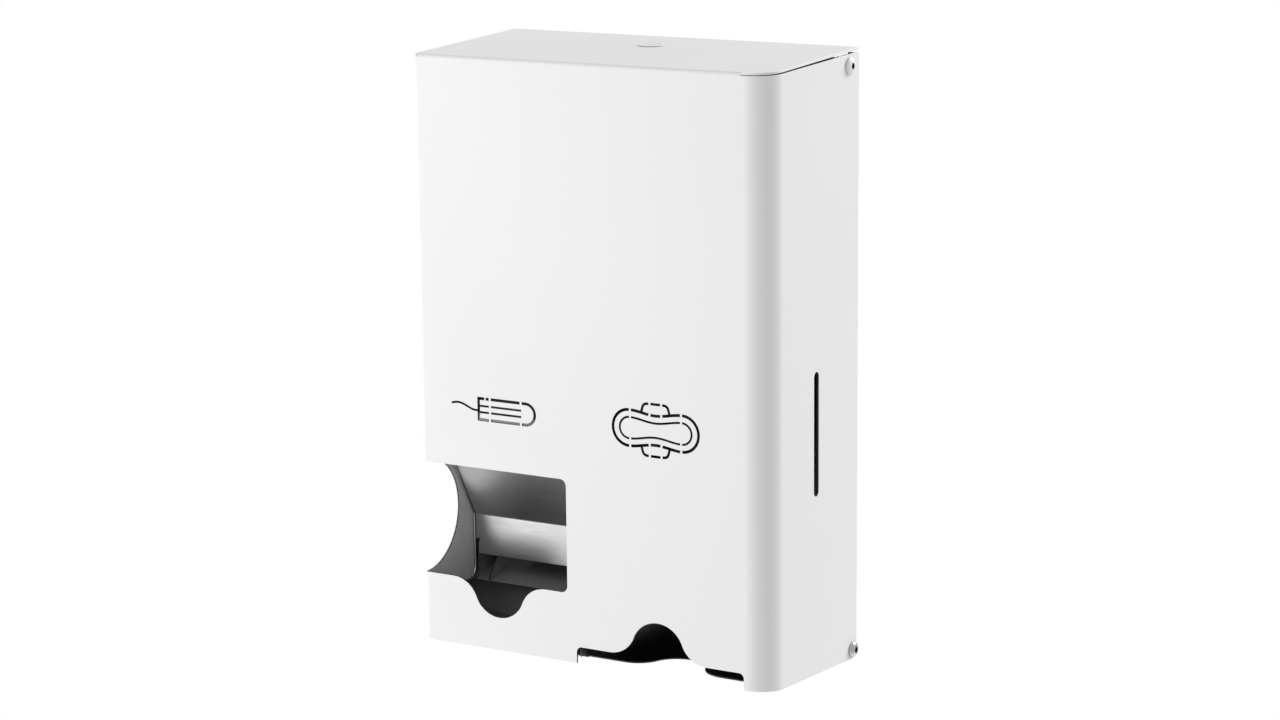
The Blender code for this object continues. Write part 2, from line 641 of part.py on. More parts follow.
def build_trough():
    t = INNER_T
    line = trough_floor()
    # the line is the upper, inner face; the sheet lies below and in front
    bm = bmesh.new()
    prism(bm, list(line) + offset_line(line, t)[::-1], "YZ", -FRAME_X + FRAME_T + 0.4, -16.4)
    ob = make("tampon_trough", bm, "black")
    # end guide that keeps the tampons off the left opening
    bm = bmesh.new()
    edge = fillet([(58.2, 28.0), (58.2, 30.0), (73.5, 50.0), (73.5, 58.0)], [2.0, 12.0], 4)
    prism(bm, edge + [(116.0, 58.0), (116.0, 38.9)], "YZ", END_X0, END_X1)
    boolean(ob, cutter("end_guide_tool", bm), "UNION")
    # hanging flange at the rear, for the rivets
    bm = bmesh.new()
    box(bm, -FRAME_X + FRAME_T + 6.0, -22.0, BACK_Y - 0.4 - t, BACK_Y - 0.4, 20.0, 40.6)
    boolean(ob, cutter("trough_flange_tool", bm), "UNION")
    bm = bmesh.new()
    note = bell(NOTCH_X, 45.4, -1, 4, 1.6)
    prism(bm, [(note[0][0], 60.0)] + note + [(note[-1][0], 60.0)], "XZ", -2.0, 12.0)
    boolean(ob, cutter("trough_notch_tool", bm))
    boolean(ob, rivet_holes("trough_holes_tool", names("trough_rivet")))
    return ob


def build_guard():
    """Front wall of the pad magazine."""
    t = INNER_T
    x0, x1 = -14.6, FRAME_X - FRAME_T - 0.4
    z0, z1 = 14.0, MAG_TOP - 18.0
    plan = sheet_path([(x0, GUARD_Y + 15.0), (x0, GUARD_Y), (x1 - 10.0, GUARD_Y), (x1, GUARD_Y + 10.0),
                       (x1, GUARD_Y + 26.0)], t)
    bm = bmesh.new()
    prism(bm, plan, "XY", z0, z1)
    ob = make("pad_guard_plate", bm, "black")
    bm = bmesh.new()
    note = bell(PAD_X, z0 - 0.4, 1, 4, 2.4)
    prism(bm, [(note[0][0], -4.0)] + note + [(note[-1][0], -4.0)], "XZ", 2.0, 14.0)
    boolean(ob, cutter("guard_notch_tool", bm))
    return ob


TRAY_X0 = -30.0
JOGGLE = 0.6          # the strip under the divider lies this much lower


def build_tray():
    t = INNER_T
    x0, x1 = -14.4, FRAME_X - FRAME_T - 0.4
    yb = BACK_Y - 0.4
    bm = bmesh.new()
    # a joggled strip runs on under the divider, so that the outlet's end is closed
    prism(bm, [(TRAY_X0, -t - JOGGLE), (x0 - 1.0, -t - JOGGLE), (x0, -t), (x1, -t), (x1, 0.0),
               (x0, 0.0), (x0 - 1.0, -JOGGLE), (TRAY_X0, -JOGGLE)], "XZ", TRAY_Y, yb)
    ob = make("pad_tray", bm, "black")
    bm = bmesh.new()
    note = bell(PAD_X, TRAY_Y, 1, 5)
    prism(bm, [(note[0][0], TRAY_Y - 6.0)] + note + [(note[-1][0], TRAY_Y - 6.0)], "XY", -4.0, 4.0)
    boolean(ob, cutter("tray_notch_tool", bm))
    bm = bmesh.new()
    box(bm, x1 - INNER_T, x1, 37.0, 106.0, -0.6, 15.0)
    box(bm, x0 + 6.0, x1 - 12.0, yb - INNER_T, yb, -0.6, 15.0)
    boolean(ob, cutter("tray_flange_tool", bm), "UNION")
    bm = bmesh.new()
    box(bm, x1 - 9.0, x1 + 5.0, 109.0, 130.0, -6.0, 20.0)
    boolean(ob, cutter("tray_corner_tool", bm))
    boolean(ob, rivet_holes("tray_holes_tool", names("tray_rivet")))
    return ob


def build_keeper():
    """Bracket on the divider that the lock's cam turns behind."""
    bm = bmesh.new()
    x0, x1 = -14.6, -13.4
    prism(bm, [(76.0, 340.0), (104.0, 340.0), (104.0, 360.0), (84.0, 374.0), (76.0, 374.0)], "YZ", x0, x1)
    ob = make("lock_keeper", bm, "steel")
    bm = bmesh.new()
    prism(bm, [(-40.0, 368.0), (x1, 364.5), (x1, 387.0), (-38.0, 387.0), (-40.0, 385.0)], "XZ", 76.0, 77.2)
    boolean(ob, cutter("keeper_plate_tool", bm), "UNION")
    boolean(ob, rivet_holes("keeper_holes_tool", names("keeper_rivet")))
    return ob


# ------------------------------------------------------------------ fasteners
def hex_ring(bm, frame, af, hole, h0, h1, turn=0.0):
    """Hexagon nut body with a round hole, local Z from h0 to h1."""
    n = 24
    outer, inner = [], []
    for i in range(n):
        a = 2 * math.pi * i / n
        k = math.radians(60)
        b = (a - math.radians(turn)) % k - k / 2
        r = (af / 2) / math.cos(b)
        outer.append((r * math.cos(a), r * math.sin(a)))
        inner.append((hole * math.cos(a), hole * math.sin(a)))
    vs = [[bm.verts.new(frame @ Vector((p[0] * 0.001, p[1] * 0.001, h * 0.001))) for p in ring]
          for ring, h in ((inner, h0), (outer, h0), (outer, h1), (inner, h1))]
    for a, b in zip(vs, vs[1:] + vs[:1]):
        for i in range(n):
            j = (i + 1) % n
            bm.faces.new((a[i], a[j], b[j], b[i]))


def button_screw(name, frame, head_r, head_h, shank_r, shank_l, kind, parent=None, socket=4.0):
    """Button head screw; local Z points out of the head, 0 at its bearing face."""
    bm = bmesh.new()
    dome = [(head_r * math.cos(math.radians(q)), 0.6 + (head_h - 0.6) * math.sin(math.radians(q)))
            for q in (0, 25, 48, 66)]
    prof = [(0, -shank_l), (shank_r - 0.5, -shank_l), (shank_r, -shank_l + 0.6), (shank_r, 0.0), (head_r, 0.0)] + dome + [(0, head_h)]
    lathe(bm, prof, frame, 20)
    ob = make(name, bm, kind, origin=frame.translation, parent=parent)
    smooth(ob)
    r = socket / 2 / math.cos(math.radians(30))
    bm = bmesh.new()
    pts = [(r * math.cos(math.radians(60 * i)), r * math.sin(math.radians(60 * i))) for i in range(6)]
    lo = [bm.verts.new(frame @ Vector((p[0] * 0.001, p[1] * 0.001, (head_h - 2.1) * 0.001))) for p in pts]
    hi = [bm.verts.new(frame @ Vector((p[0] * 0.001, p[1] * 0.001, (head_h + 2.0) * 0.001))) for p in pts]
    bm.faces.new(lo)
    bm.faces.new(hi[::-1])
    for i in range(6):
        j = (i + 1) % 6
        bm.faces.new((lo[j], lo[i], hi[i], hi[j]))
    boolean(ob, cutter(name + "_socket_tool", bm))
    return ob


def build_fasteners():
    hw = WIDTH / 2
    for side, s in (("left", -1), ("right", 1)):
        # hinge screw through the cover, a spacer bush and the frame
        fr = along_x(s * (hw + 0.3), HINGE_Y, HINGE_Z, s)
        button_screw("hinge_screw_" + side, fr, 5.4, 3.0, 3.0, 10.5, "silver")
        bm = bmesh.new()
        base = along_x(s * (FRAME_X + 0.15), HINGE_Y, HINGE_Z, s)
        lathe(bm, [(3.3, 0.0), (4.2, 0.0), (4.2, 1.9), (3.3, 1.9)], base, 20, True)
        smooth(make("hinge_bush_" + side, bm, "nylon", origin=base.translation))
        bm = bmesh.new()
        nut = along_x(s * (FRAME_X - FRAME_T - 0.3), HINGE_Y, HINGE_Z, -s)
        hex_ring(bm, nut, 10.0, 3.3, 0.0, 5.0, 30.0)
        make("hinge_nut_" + side, bm, "silver", origin=nut.translation)
        # locating screw on the cover; its collar seats in the frame's slot
        fr = along_x(s * (hw + 0.3), TOP_SCREW_Y, TOP_SCREW_Z, s)
        button_screw("locating_screw_" + side, fr, 5.7, 2.6, 3.0, 7.8, "white", COVER)
        bm = bmesh.new()
        nut = along_x(s * (hw - SKIN - 0.3), TOP_SCREW_Y, TOP_SCREW_Z, -s)
        lathe(bm, [(3.3, 0.0), (4.3, 0.0), (4.3, 4.1), (3.9, 4.5), (3.3, 4.5)], nut, 20, True)
        smooth(make("locating_collar_" + side, bm, "silver", parent=COVER))


# ----------------------------------------------------------------------- lock
def build_lock():
    f = LOCK_FRAME
    bm = bmesh.new()
    lathe(bm, [(6.3, -19.5), (7.3, -19.5), (7.4, -19.0), (7.4, 0.3), (8.6, 0.3), (8.6, 0.5), (8.4, 0.7), (6.5, 0.7), (6.3, 0.5)],
          f, 24, True)
    smooth(make("lock_body", bm, "white", parent=COVER))
    bm = bmesh.new()
    hex_ring(bm, f @ Matrix.Translation((0, 0, -0.0018)), 19.0, 7.7, -3.2, 0.0)
    make("lock_nut", bm, "silver", parent=COVER)
    bm = bmesh.new()
    lathe(bm, [(0, -22.5), (3.3, -22.5), (3.5, -22.2), (3.5, -20.5), (6.0, -20.5), (6.0, 0.35), (5.8, 0.55), (0, 0.55)], f, 20)
    plug = make("lock_plug", bm, "white", parent=LOCK)
    smooth(plug)
    bm = bmesh.new()
    for a, b, c, d, e, h in ((-3.4, 3.4, -0.8, 0.8, -5.0, 3.0),):
        vs = [bm.verts.new(f @ Vector((x * 0.001, y * 0.001, z * 0.001)))
              for z in (e, h) for x, y in ((a, c), (b, c), (b, d), (a, d))]
        for q in ((3, 2, 1, 0), (4, 5, 6, 7), (0, 1, 5, 4), (1, 2, 6, 5), (2, 3, 7, 6), (3, 0, 4, 7)):
            bm.faces.new([vs[i] for i in q])
    boolean(plug, cutter("keyway_tool", bm))
    bm = bmesh.new()
    lathe(bm, [(0, -25.0), (2.1, -25.0), (2.1, -17.0), (0, -17.0)], f, 12)
    boolean(plug, cutter("plug_thread_tool", bm))
    # cam: a flat tongue with a hole on the plug's end
    bm = bmesh.new()
    outline = [(6.0 * math.cos(math.radians(q)), 6.0 * math.sin(math.radians(q))) for q in range(180, 361, 20)]
    outline += [(5.6, 24.0), (3.6, 27.0), (-3.6, 27.0), (-5.6, 24.0)]
    lo = [bm.verts.new(f @ Vector((p[0] * 0.001, p[1] * 0.001, -0.0228))) for p in outline]
    hi = [bm.verts.new(f @ Vector((p[0] * 0.001, p[1] * 0.001, -0.0208))) for p in outline]
    bm.faces.new(lo)
    bm.faces.new(hi[::-1])
    for i in range(len(outline)):
        j = (i + 1) % len(outline)
        bm.faces.new((lo[j], lo[i], hi[i], hi[j]))
    cam = make("lock_cam", bm, "silver", parent=LOCK)
    bm = bmesh.new()
    lathe(bm, [(0, -26.0), (3.8, -26.0), (3.8, -18.0), (0, -18.0)], f, 16)
    boolean(cam, cutter("cam_hole_tool", bm))
    bm = bmesh.new()
    lathe(bm, [(0, -25.6), (3.4, -25.6), (4.6, -25.0), (4.6, -23.1), (1.8, -23.1), (1.8, -18.0), (0, -18.0)], f, 14)
    screw = make("lock_cam_screw", bm, "silver", parent=LOCK)
    smooth(screw)


plan_rivets()
build_cover()
build_frame()
build_divider()
build_chute()
build_trough()
build_guard()
build_tray()
build_keeper()
build_rivets()
build_fasteners()
build_lock()
bpy.context.view_layer.update()
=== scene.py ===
import math

import bmesh
import bpy
from mathutils import Matrix, Vector
from mathutils.bvhtree import BVHTree


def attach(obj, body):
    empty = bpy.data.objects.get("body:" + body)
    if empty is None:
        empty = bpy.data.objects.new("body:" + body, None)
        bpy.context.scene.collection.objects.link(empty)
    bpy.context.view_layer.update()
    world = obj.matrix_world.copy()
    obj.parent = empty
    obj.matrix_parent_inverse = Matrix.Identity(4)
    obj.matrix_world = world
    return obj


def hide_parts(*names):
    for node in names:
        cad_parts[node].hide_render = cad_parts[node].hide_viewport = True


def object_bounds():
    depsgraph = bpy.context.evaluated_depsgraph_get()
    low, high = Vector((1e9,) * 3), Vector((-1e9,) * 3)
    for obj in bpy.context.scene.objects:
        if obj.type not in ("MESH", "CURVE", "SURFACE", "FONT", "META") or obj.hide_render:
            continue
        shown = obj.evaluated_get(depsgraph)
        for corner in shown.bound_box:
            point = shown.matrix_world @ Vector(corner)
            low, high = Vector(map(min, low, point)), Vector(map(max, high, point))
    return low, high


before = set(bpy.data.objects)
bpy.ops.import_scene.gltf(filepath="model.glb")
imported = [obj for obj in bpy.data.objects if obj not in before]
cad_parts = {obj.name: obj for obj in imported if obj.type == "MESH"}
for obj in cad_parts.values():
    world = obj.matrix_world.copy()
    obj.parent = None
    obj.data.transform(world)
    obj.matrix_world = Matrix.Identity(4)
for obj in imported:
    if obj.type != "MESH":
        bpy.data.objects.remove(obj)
CAD_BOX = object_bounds()

# ------------------------------------------------------------------ dimensions
# millimetres, from the outside of the front panel and its lower edge
WIDTH, DEPTH, HEIGHT, ORIGIN_Z = 264.0, 126.0, 400.0, 195.0
SKIN, COVER_REAR, CORNER_R, BEND_R = 1.5, 125.4, 18.0, 2.6
LID_RISE, SIDE_RISE, RELIEF_X = 4.0, 2.8, 111.8
HINGE_Y, HINGE_Z, HINGE_CORNER = 118.9, -1.8, 6.5
TOP_SCREW_Y, TOP_SCREW_Z = 111.3, 393.1
WINDOW_Z0, WINDOW_Z1, WINDOW_X1, WINDOW_R = 47.4, 124.6, -19.5, 4.6
NOTCH_X, ARC_Y, ARC_R = -73.1, 2.7, 38.6
BELL_H, BELL_W, BELL_R = 24.7, 36.1, 19.5
OUTLET_X0, OUTLET_X1, OUTLET_Z, PAD_X = -12.7, 112.8, 11.2, 49.1
SIGHT_Y, SIGHT_Z0, SIGHT_Z1, SIGHT_W = 65.1, 116.7, 199.6, 6.7
FRAME_X, FRAME_T, BACK_Y, INNER_T = 130.0, 1.2, 124.8, 1.0
GUARD_Y, CHEEK_Y, MAG_TOP = 8.0, 18.6, 362.0
BAND_Y, BAND_TOP, BAND_LOW, CHUTE_SLOPE = 58.2, 75.1, 46.6, 0.583
DIVIDER_X0, DIVIDER_X1, TRAY_Y = -16.0, -15.0, 19.0
LOCK_X, LOCK_Y = -1.0, 86.0
SLOPE = math.atan2(LID_RISE, DEPTH)
HW = WIDTH / 2


def lid_z(y):
    return HEIGHT + LID_RISE * y / DEPTH


def side_z(y):
    return HEIGHT - SKIN - 0.4 + SIDE_RISE * y / DEPTH


def P(x, y, z):
    return Vector((x * 0.001, (y - DEPTH) * 0.001, (z - ORIGIN_Z) * 0.001))


LOCK_FRAME = Matrix.Translation(P(LOCK_X, LOCK_Y, lid_z(LOCK_Y))) @ Matrix.Rotation(SLOPE, 4, "X")


# ------------------------------------------------------------------- materials
def new_material(name):
    m = bpy.data.materials.new(name)
    m.use_nodes = True
    nt = m.node_tree
    b = nt.nodes["Principled BSDF"]
    return m, nt, b


def link(nt, a, b):
    nt.links.new(a, b)


def noise(nt, coord, scale, detail=3.0, rough=0.55, stretch=None):
    n = nt.nodes.new("ShaderNodeTexNoise")
    n.inputs["Scale"].default_value = scale
    n.inputs["Detail"].default_value = detail
    n.inputs["Roughness"].default_value = rough
    if stretch is not None:
        mp = nt.nodes.new("ShaderNodeMapping")
        mp.inputs["Scale"].default_value = stretch
        link(nt, coord, mp.inputs["Vector"])
        link(nt, mp.outputs["Vector"], n.inputs["Vector"])
    else:
        link(nt, coord, n.inputs["Vector"])
    return n.outputs["Fac"]


def ramp(nt, fac, stops):
    r = nt.nodes.new("ShaderNodeValToRGB")
    e = r.color_ramp.elements
    while len(e) < len(stops):
        e.new(0.5)
    for el, (p, c) in zip(e, stops):
        el.position = p
        el.color = (*c, 1.0) if len(c) == 3 else c
    link(nt, fac, r.inputs["Fac"])
    return r.outputs["Color"]


def grey(v):
    return (v, v, v)


def span(nt, fac, lo, hi):
    m = nt.nodes.new("ShaderNodeMapRange")
    m.inputs["From Min"].default_value = 0.25
    m.inputs["From Max"].default_value = 0.75
    m.inputs["To Min"].default_value = lo
    m.inputs["To Max"].default_value = hi
    link(nt, fac, m.inputs["Value"])
    return m.outputs["Result"]


def bump(nt, b, pairs):
    """Layers of bump: (height socket, strength, distance)."""
    last = None
    for h, s, d in pairs:
        n = nt.nodes.new("ShaderNodeBump")
        n.inputs["Strength"].default_value = s
        n.inputs["Distance"].default_value = d
        link(nt, h, n.inputs["Height"])
        if last is not None:
            link(nt, last, n.inputs["Normal"])
        last = n.outputs["Normal"]
    link(nt, last, b.inputs["Normal"])


def coords(nt):
    return nt.nodes.new("ShaderNodeTexCoord").outputs["Object"]


def white_paint(name, base=0.80):
    m, nt, b = new_material(name)
    c = coords(nt)
    cloud = noise(nt, c, 6.0, 3.0)
    fine = noise(nt, c, 900.0, 2.0, 0.5)
    peel = noise(nt, c, 320.0, 2.0, 0.5)
    col = ramp(nt, cloud, [(0.25, (base * 0.985, base * 0.985, base * 0.985)), (0.75, (base, base, base))])
    link(nt, col, b.inputs["Base Color"])
    link(nt, span(nt, cloud, 0.40, 0.47), b.inputs["Roughness"])
    b.inputs["Specular IOR Level"].default_value = 0.45
    bump(nt, b, [(peel, 0.05, 0.00012), (fine, 0.05, 0.00004)])
    return m


def black_paint(name, tone=0.013, rough=0.48):
    m, nt, b = new_material(name)
    c = coords(nt)
    fine = noise(nt, c, 1100.0, 2.0, 0.6)
    cloud = noise(nt, c, 14.0, 3.0)
    col = ramp(nt, cloud, [(0.3, grey(tone * 0.82)), (0.7, grey(tone * 1.2))])
    link(nt, col, b.inputs["Base Color"])
    link(nt, span(nt, cloud, rough - 0.06, rough + 0.07), b.inputs["Roughness"])
    bump(nt, b, [(fine, 0.18, 0.00008)])
    return m


def brushed(name, axis, base=0.50, rough=0.31):
    """Brushed sheet; axis is the grain's direction (0, 1 or 2)."""
    m, nt, b = new_material(name)
    c = coords(nt)
    st = [240.0, 240.0, 240.0]
    st[axis] = 5.0
    grain = noise(nt, c, 14.0, 4.0, 0.7, tuple(st))
    st2 = [60.0, 60.0, 60.0]
    st2[axis] = 2.0
    broad = noise(nt, c, 8.0, 3.0, 0.6, tuple(st2))
    cloud = noise(nt, c, 9.0, 3.0)
    col = ramp(nt, grain, [(0.25, grey(base * 0.80)), (0.75, grey(base * 1.16))])
    link(nt, col, b.inputs["Base Color"])
    b.inputs["Metallic"].default_value = 1.0
    mix = nt.nodes.new("ShaderNodeMath")
    mix.operation = "MULTIPLY_ADD"
    mix.inputs[1].default_value = 0.5
    link(nt, broad, mix.inputs[0])
    half = nt.nodes.new("ShaderNodeMath")
    half.operation = "MULTIPLY"
    half.inputs[1].default_value = 0.5
    link(nt, cloud, half.inputs[0])
    link(nt, half.outputs[0], mix.inputs[2])
    link(nt, span(nt, mix.outputs[0], rough - 0.05, rough + 0.07), b.inputs["Roughness"])
    bump(nt, b, [(broad, 0.10, 0.0003), (grain, 0.16, 0.00008)])
    return m


def plated(name, base=0.60, rough=0.24):
    m, nt, b = new_material(name)
    c = coords(nt)
    fine = noise(nt, c, 520.0, 3.0, 0.6)
    cloud = noise(nt, c, 90.0, 3.0)
    col = ramp(nt, cloud, [(0.3, (base * 0.90, base * 0.90, base * 0.90)), (0.7, (base, base, base * 1.01))])
    link(nt, col, b.inputs["Base Color"])
    b.inputs["Metallic"].default_value = 1.0
    link(nt, span(nt, fine, rough - 0.05, rough + 0.08), b.inputs["Roughness"])
    bump(nt, b, [(fine, 0.08, 0.00004)])
    return m


def plastic(name, rgb, rough=0.5):
    m, nt, b = new_material(name)
    c = coords(nt)
    fine = noise(nt, c, 700.0, 2.0, 0.6)
    cloud = noise(nt, c, 60.0, 3.0)
    col = ramp(nt, cloud, [(0.3, tuple(v * 0.92 for v in rgb)), (0.7, rgb)])
    link(nt, col, b.inputs["Base Color"])
    link(nt, span(nt, cloud, rough - 0.06, rough + 0.06), b.inputs["Roughness"])
    bump(nt, b, [(fine, 0.1, 0.00005)])
    return m


WHITE = white_paint("paint_white")
BLACK = black_paint("paint_black")
# dark lining for cut walls and screw sockets: painted shade in the recesses, not the sheet's own colour
SHADE_EDGE = plastic("cut_edge_painted_shade", (0.055, 0.055, 0.055), 0.6)
TROUGH = black_paint("paint_black_satin", 0.045, 0.34)
# lighter grey put on shaded inside faces: painted light lifting their shade
LIFT_GREY = plastic("grey_painted_light", (0.27, 0.27, 0.27), 0.55)
# brighter steel for the cheek's rolled edge: painted highlight
ROLLED_EDGE_GLINT = plated("rolled_edge_painted_highlight", 0.86, 0.30)
STEEL_X = brushed("brushed_across", 0, 0.50, 0.35)
STEEL_Z = brushed("brushed_upright", 2)
# dark steel: painted shade on sheets seen through the cuts
SHADE_STEEL = brushed("brushed_painted_shade", 0, 0.10, 0.50)
SHADE_STEEL_UPRIGHT = brushed("brushed_painted_shade_upright", 2, 0.13, 0.50)
SILVER = plated("plain_steel")
NICKEL = plated("nickel", 0.64, 0.20)
NYLON = plastic("nylon_natural", (0.70, 0.69, 0.65))


# -------------------------------------------------------------------- geometry
def prism(bm, pts, plane, a, b):
    def v(p, h):
        if plane == "XY":
            return P(p[0], p[1], h)
        if plane == "XZ":
            return P(p[0], h, p[1])
        return P(h, p[0], p[1])
    lo = [bm.verts.new(v(p, a)) for p in pts]
    hi = [bm.verts.new(v(p, b)) for p in pts]
    n = len(pts)
    bm.faces.new(lo)
    bm.faces.new(hi[::-1])
    for i in range(n):
        j = (i + 1) % n
        bm.faces.new((lo[j], lo[i], hi[i], hi[j]))


def box(bm, x0, x1, y0, y1, z0, z1):
    prism(bm, [(x0, y0), (x1, y0), (x1, y1), (x0, y1)], "XY", z0, z1)


def arc(cx, cy, r, a0, a1, n):
    return [(cx + r * math.cos(math.radians(a0 + (a1 - a0) * i / n)),
             cy + r * math.sin(math.radians(a0 + (a1 - a0) * i / n)))
            for i in range(n + 1)]


def offset_line(pts, d):
    out = []
    n = len(pts)
    for i in range(n):
        if i == 0:
            t = (Vector(pts[1]) - Vector(pts[0])).normalized()
            out.append((pts[0][0] - t.y * d, pts[0][1] + t.x * d))
        elif i == n - 1:
            t = (Vector(pts[-1]) - Vector(pts[-2])).normalized()
            out.append((pts[-1][0] - t.y * d, pts[-1][1] + t.x * d))
        else:
            t0 = (Vector(pts[i]) - Vector(pts[i - 1])).normalized()
            t1 = (Vector(pts[i + 1]) - Vector(pts[i])).normalized()
            m = (t0 + t1).normalized()
            k = d / max(0.2, m.dot(t0))
            out.append((pts[i][0] - m.y * k, pts[i][1] + m.x * k))
    return out


def fillet(pts, radii, n=8):
    """Open polyline with its inner corners rounded; one radius for each."""
    out = [pts[0]]
    for i in range(1, len(pts) - 1):
        p, a, b = Vector(pts[i]), Vector(pts[i - 1]), Vector(pts[i + 1])
        r = radii[i - 1] if isinstance(radii, (list, tuple)) else radii
        u, w = (a - p).normalized(), (b - p).normalized()
        ang = math.acos(max(-1.0, min(1.0, u.dot(w))))
        if r <= 0 or ang > math.pi - 1e-4:
            out.append(tuple(p))
            continue
        t = r / math.tan(ang / 2)
        p0, p1 = p + u * t, p + w * t
        c = p + (u + w).normalized() * (r / math.sin(ang / 2))
        a0 = math.atan2(p0.y - c.y, p0.x - c.x)
        a1 = math.atan2(p1.y - c.y, p1.x - c.x)
        d = (a1 - a0 + math.pi) % (2 * math.pi) - math.pi
        out += [(c.x + r * math.cos(a0 + d * k / n), c.y + r * math.sin(a0 + d * k / n)) for k in range(n + 1)]
    out.append(pts[-1])
    return out


def sheet_path(pts, t):
    return list(pts) + offset_line(pts, t)[::-1]


def ribbon(pts, w):
    return offset_line(pts, -w / 2) + offset_line(pts, w / 2)[::-1]


def lathe(bm, profile, fr, segs, closed=False):
    rings = []
    for r, h in profile:
        if r <= 1e-9:
            rings.append([bm.verts.new(fr @ Vector((0, 0, h * 0.001)))])
        else:
            rings.append([bm.verts.new(fr @ Vector((
                r * 0.001 * math.cos(2 * math.pi * i / segs),
                r * 0.001 * math.sin(2 * math.pi * i / segs), h * 0.001)))
                for i in range(segs)])
    pairs = list(zip(rings, rings[1:]))
    if closed:
        pairs.append((rings[-1], rings[0]))
    for a, b in pairs:
        if len(a) == 1 and len(b) == 1:
            continue
        for i in range(segs):
            j = (i + 1) % segs
            if len(a) == 1:
                bm.faces.new((a[0], b[j], b[i]))
            elif len(b) == 1:
                bm.faces.new((a[i], a[j], b[0]))
            else:
                bm.faces.new((a[i], a[j], b[j], b[i]))


def turned(points, n=4):
    """Profile with each marked corner eased: (r, h, ease)."""
    out = []
    m = len(points)
    for i, p in enumerate(points):
        e = p[2] if len(p) > 2 else 0.0
        if e <= 0 or i in (0, m - 1):
            out.append((p[0], p[1]))
            continue
        out += fillet([points[i - 1][:2], p[:2], points[i + 1][:2]], e, n)[1:-1]
    return out


def axis_frame(x, y, z, direction):
    ax = Vector(direction).normalized()
    up = Vector((0, 0, 1)) if abs(ax.z) < 0.9 else Vector((0, 1, 0))
    side = up.cross(ax).normalized()
    up = ax.cross(side)
    m = Matrix((side, up, ax)).transposed().to_4x4()
    m.translation = P(x, y, z)
    return m


def bell(cx, base, up=1, n=12, grow=0.0):
    r1 = BELL_R + grow
    w, h = BELL_W + grow, BELL_H + grow
    s = (w * w + h * h) / (2 * h)
    r2 = s - r1
    t = math.degrees(math.atan2(r2 - (h - r1), w))
    pts = []
    pts += [(-w + r2 * math.sin(math.radians(q)), r2 - r2 * math.cos(math.radians(q)))
            for q in [(90 - t) * i / n for i in range(n + 1)]]
    pts += [(r1 * math.sin(math.radians(q)), h - r1 + r1 * math.cos(math.radians(q)))
            for q in [-(90 - t) + 2 * (90 - t) * i / (2 * n) for i in range(1, 2 * n)]]
    pts += [(w - r2 * math.sin(math.radians(q)), r2 - r2 * math.cos(math.radians(q)))
            for q in [(90 - t) * i / n for i in range(n, -1, -1)]]
    return [(cx + u, base + up * v) for u, v in pts]


def circle(cx, cy, r, n=40):
    return arc(cx, cy, r, 0, 360.0 * (n - 1) / n, n - 1)


def mend(me):
    """Joins an open edge to the corners that lie along it."""
    bm = bmesh.new()
    bm.from_mesh(me)
    rim = [e for e in bm.edges if len(e.link_faces) == 1]
    ends = sorted({v for e in rim for v in e.verts}, key=lambda v: v.index)
    weld = list(ends)
    for e in rim:
        a, b = e.verts
        d = b.co - a.co
        for v in ends:
            t = (v.co - a.co).dot(d) / d.length_squared
            if v not in (a, b) and 0.01 < t < 0.99 and (v.co - a.co - d * t).length < 2e-6:
                new = bmesh.utils.edge_split(e, a, t)[1]
                new.co = v.co
                weld.append(new)
                break
    if rim:
        bmesh.ops.remove_doubles(bm, verts=weld, dist=1e-7)
        bm.to_mesh(me)
    bm.free()


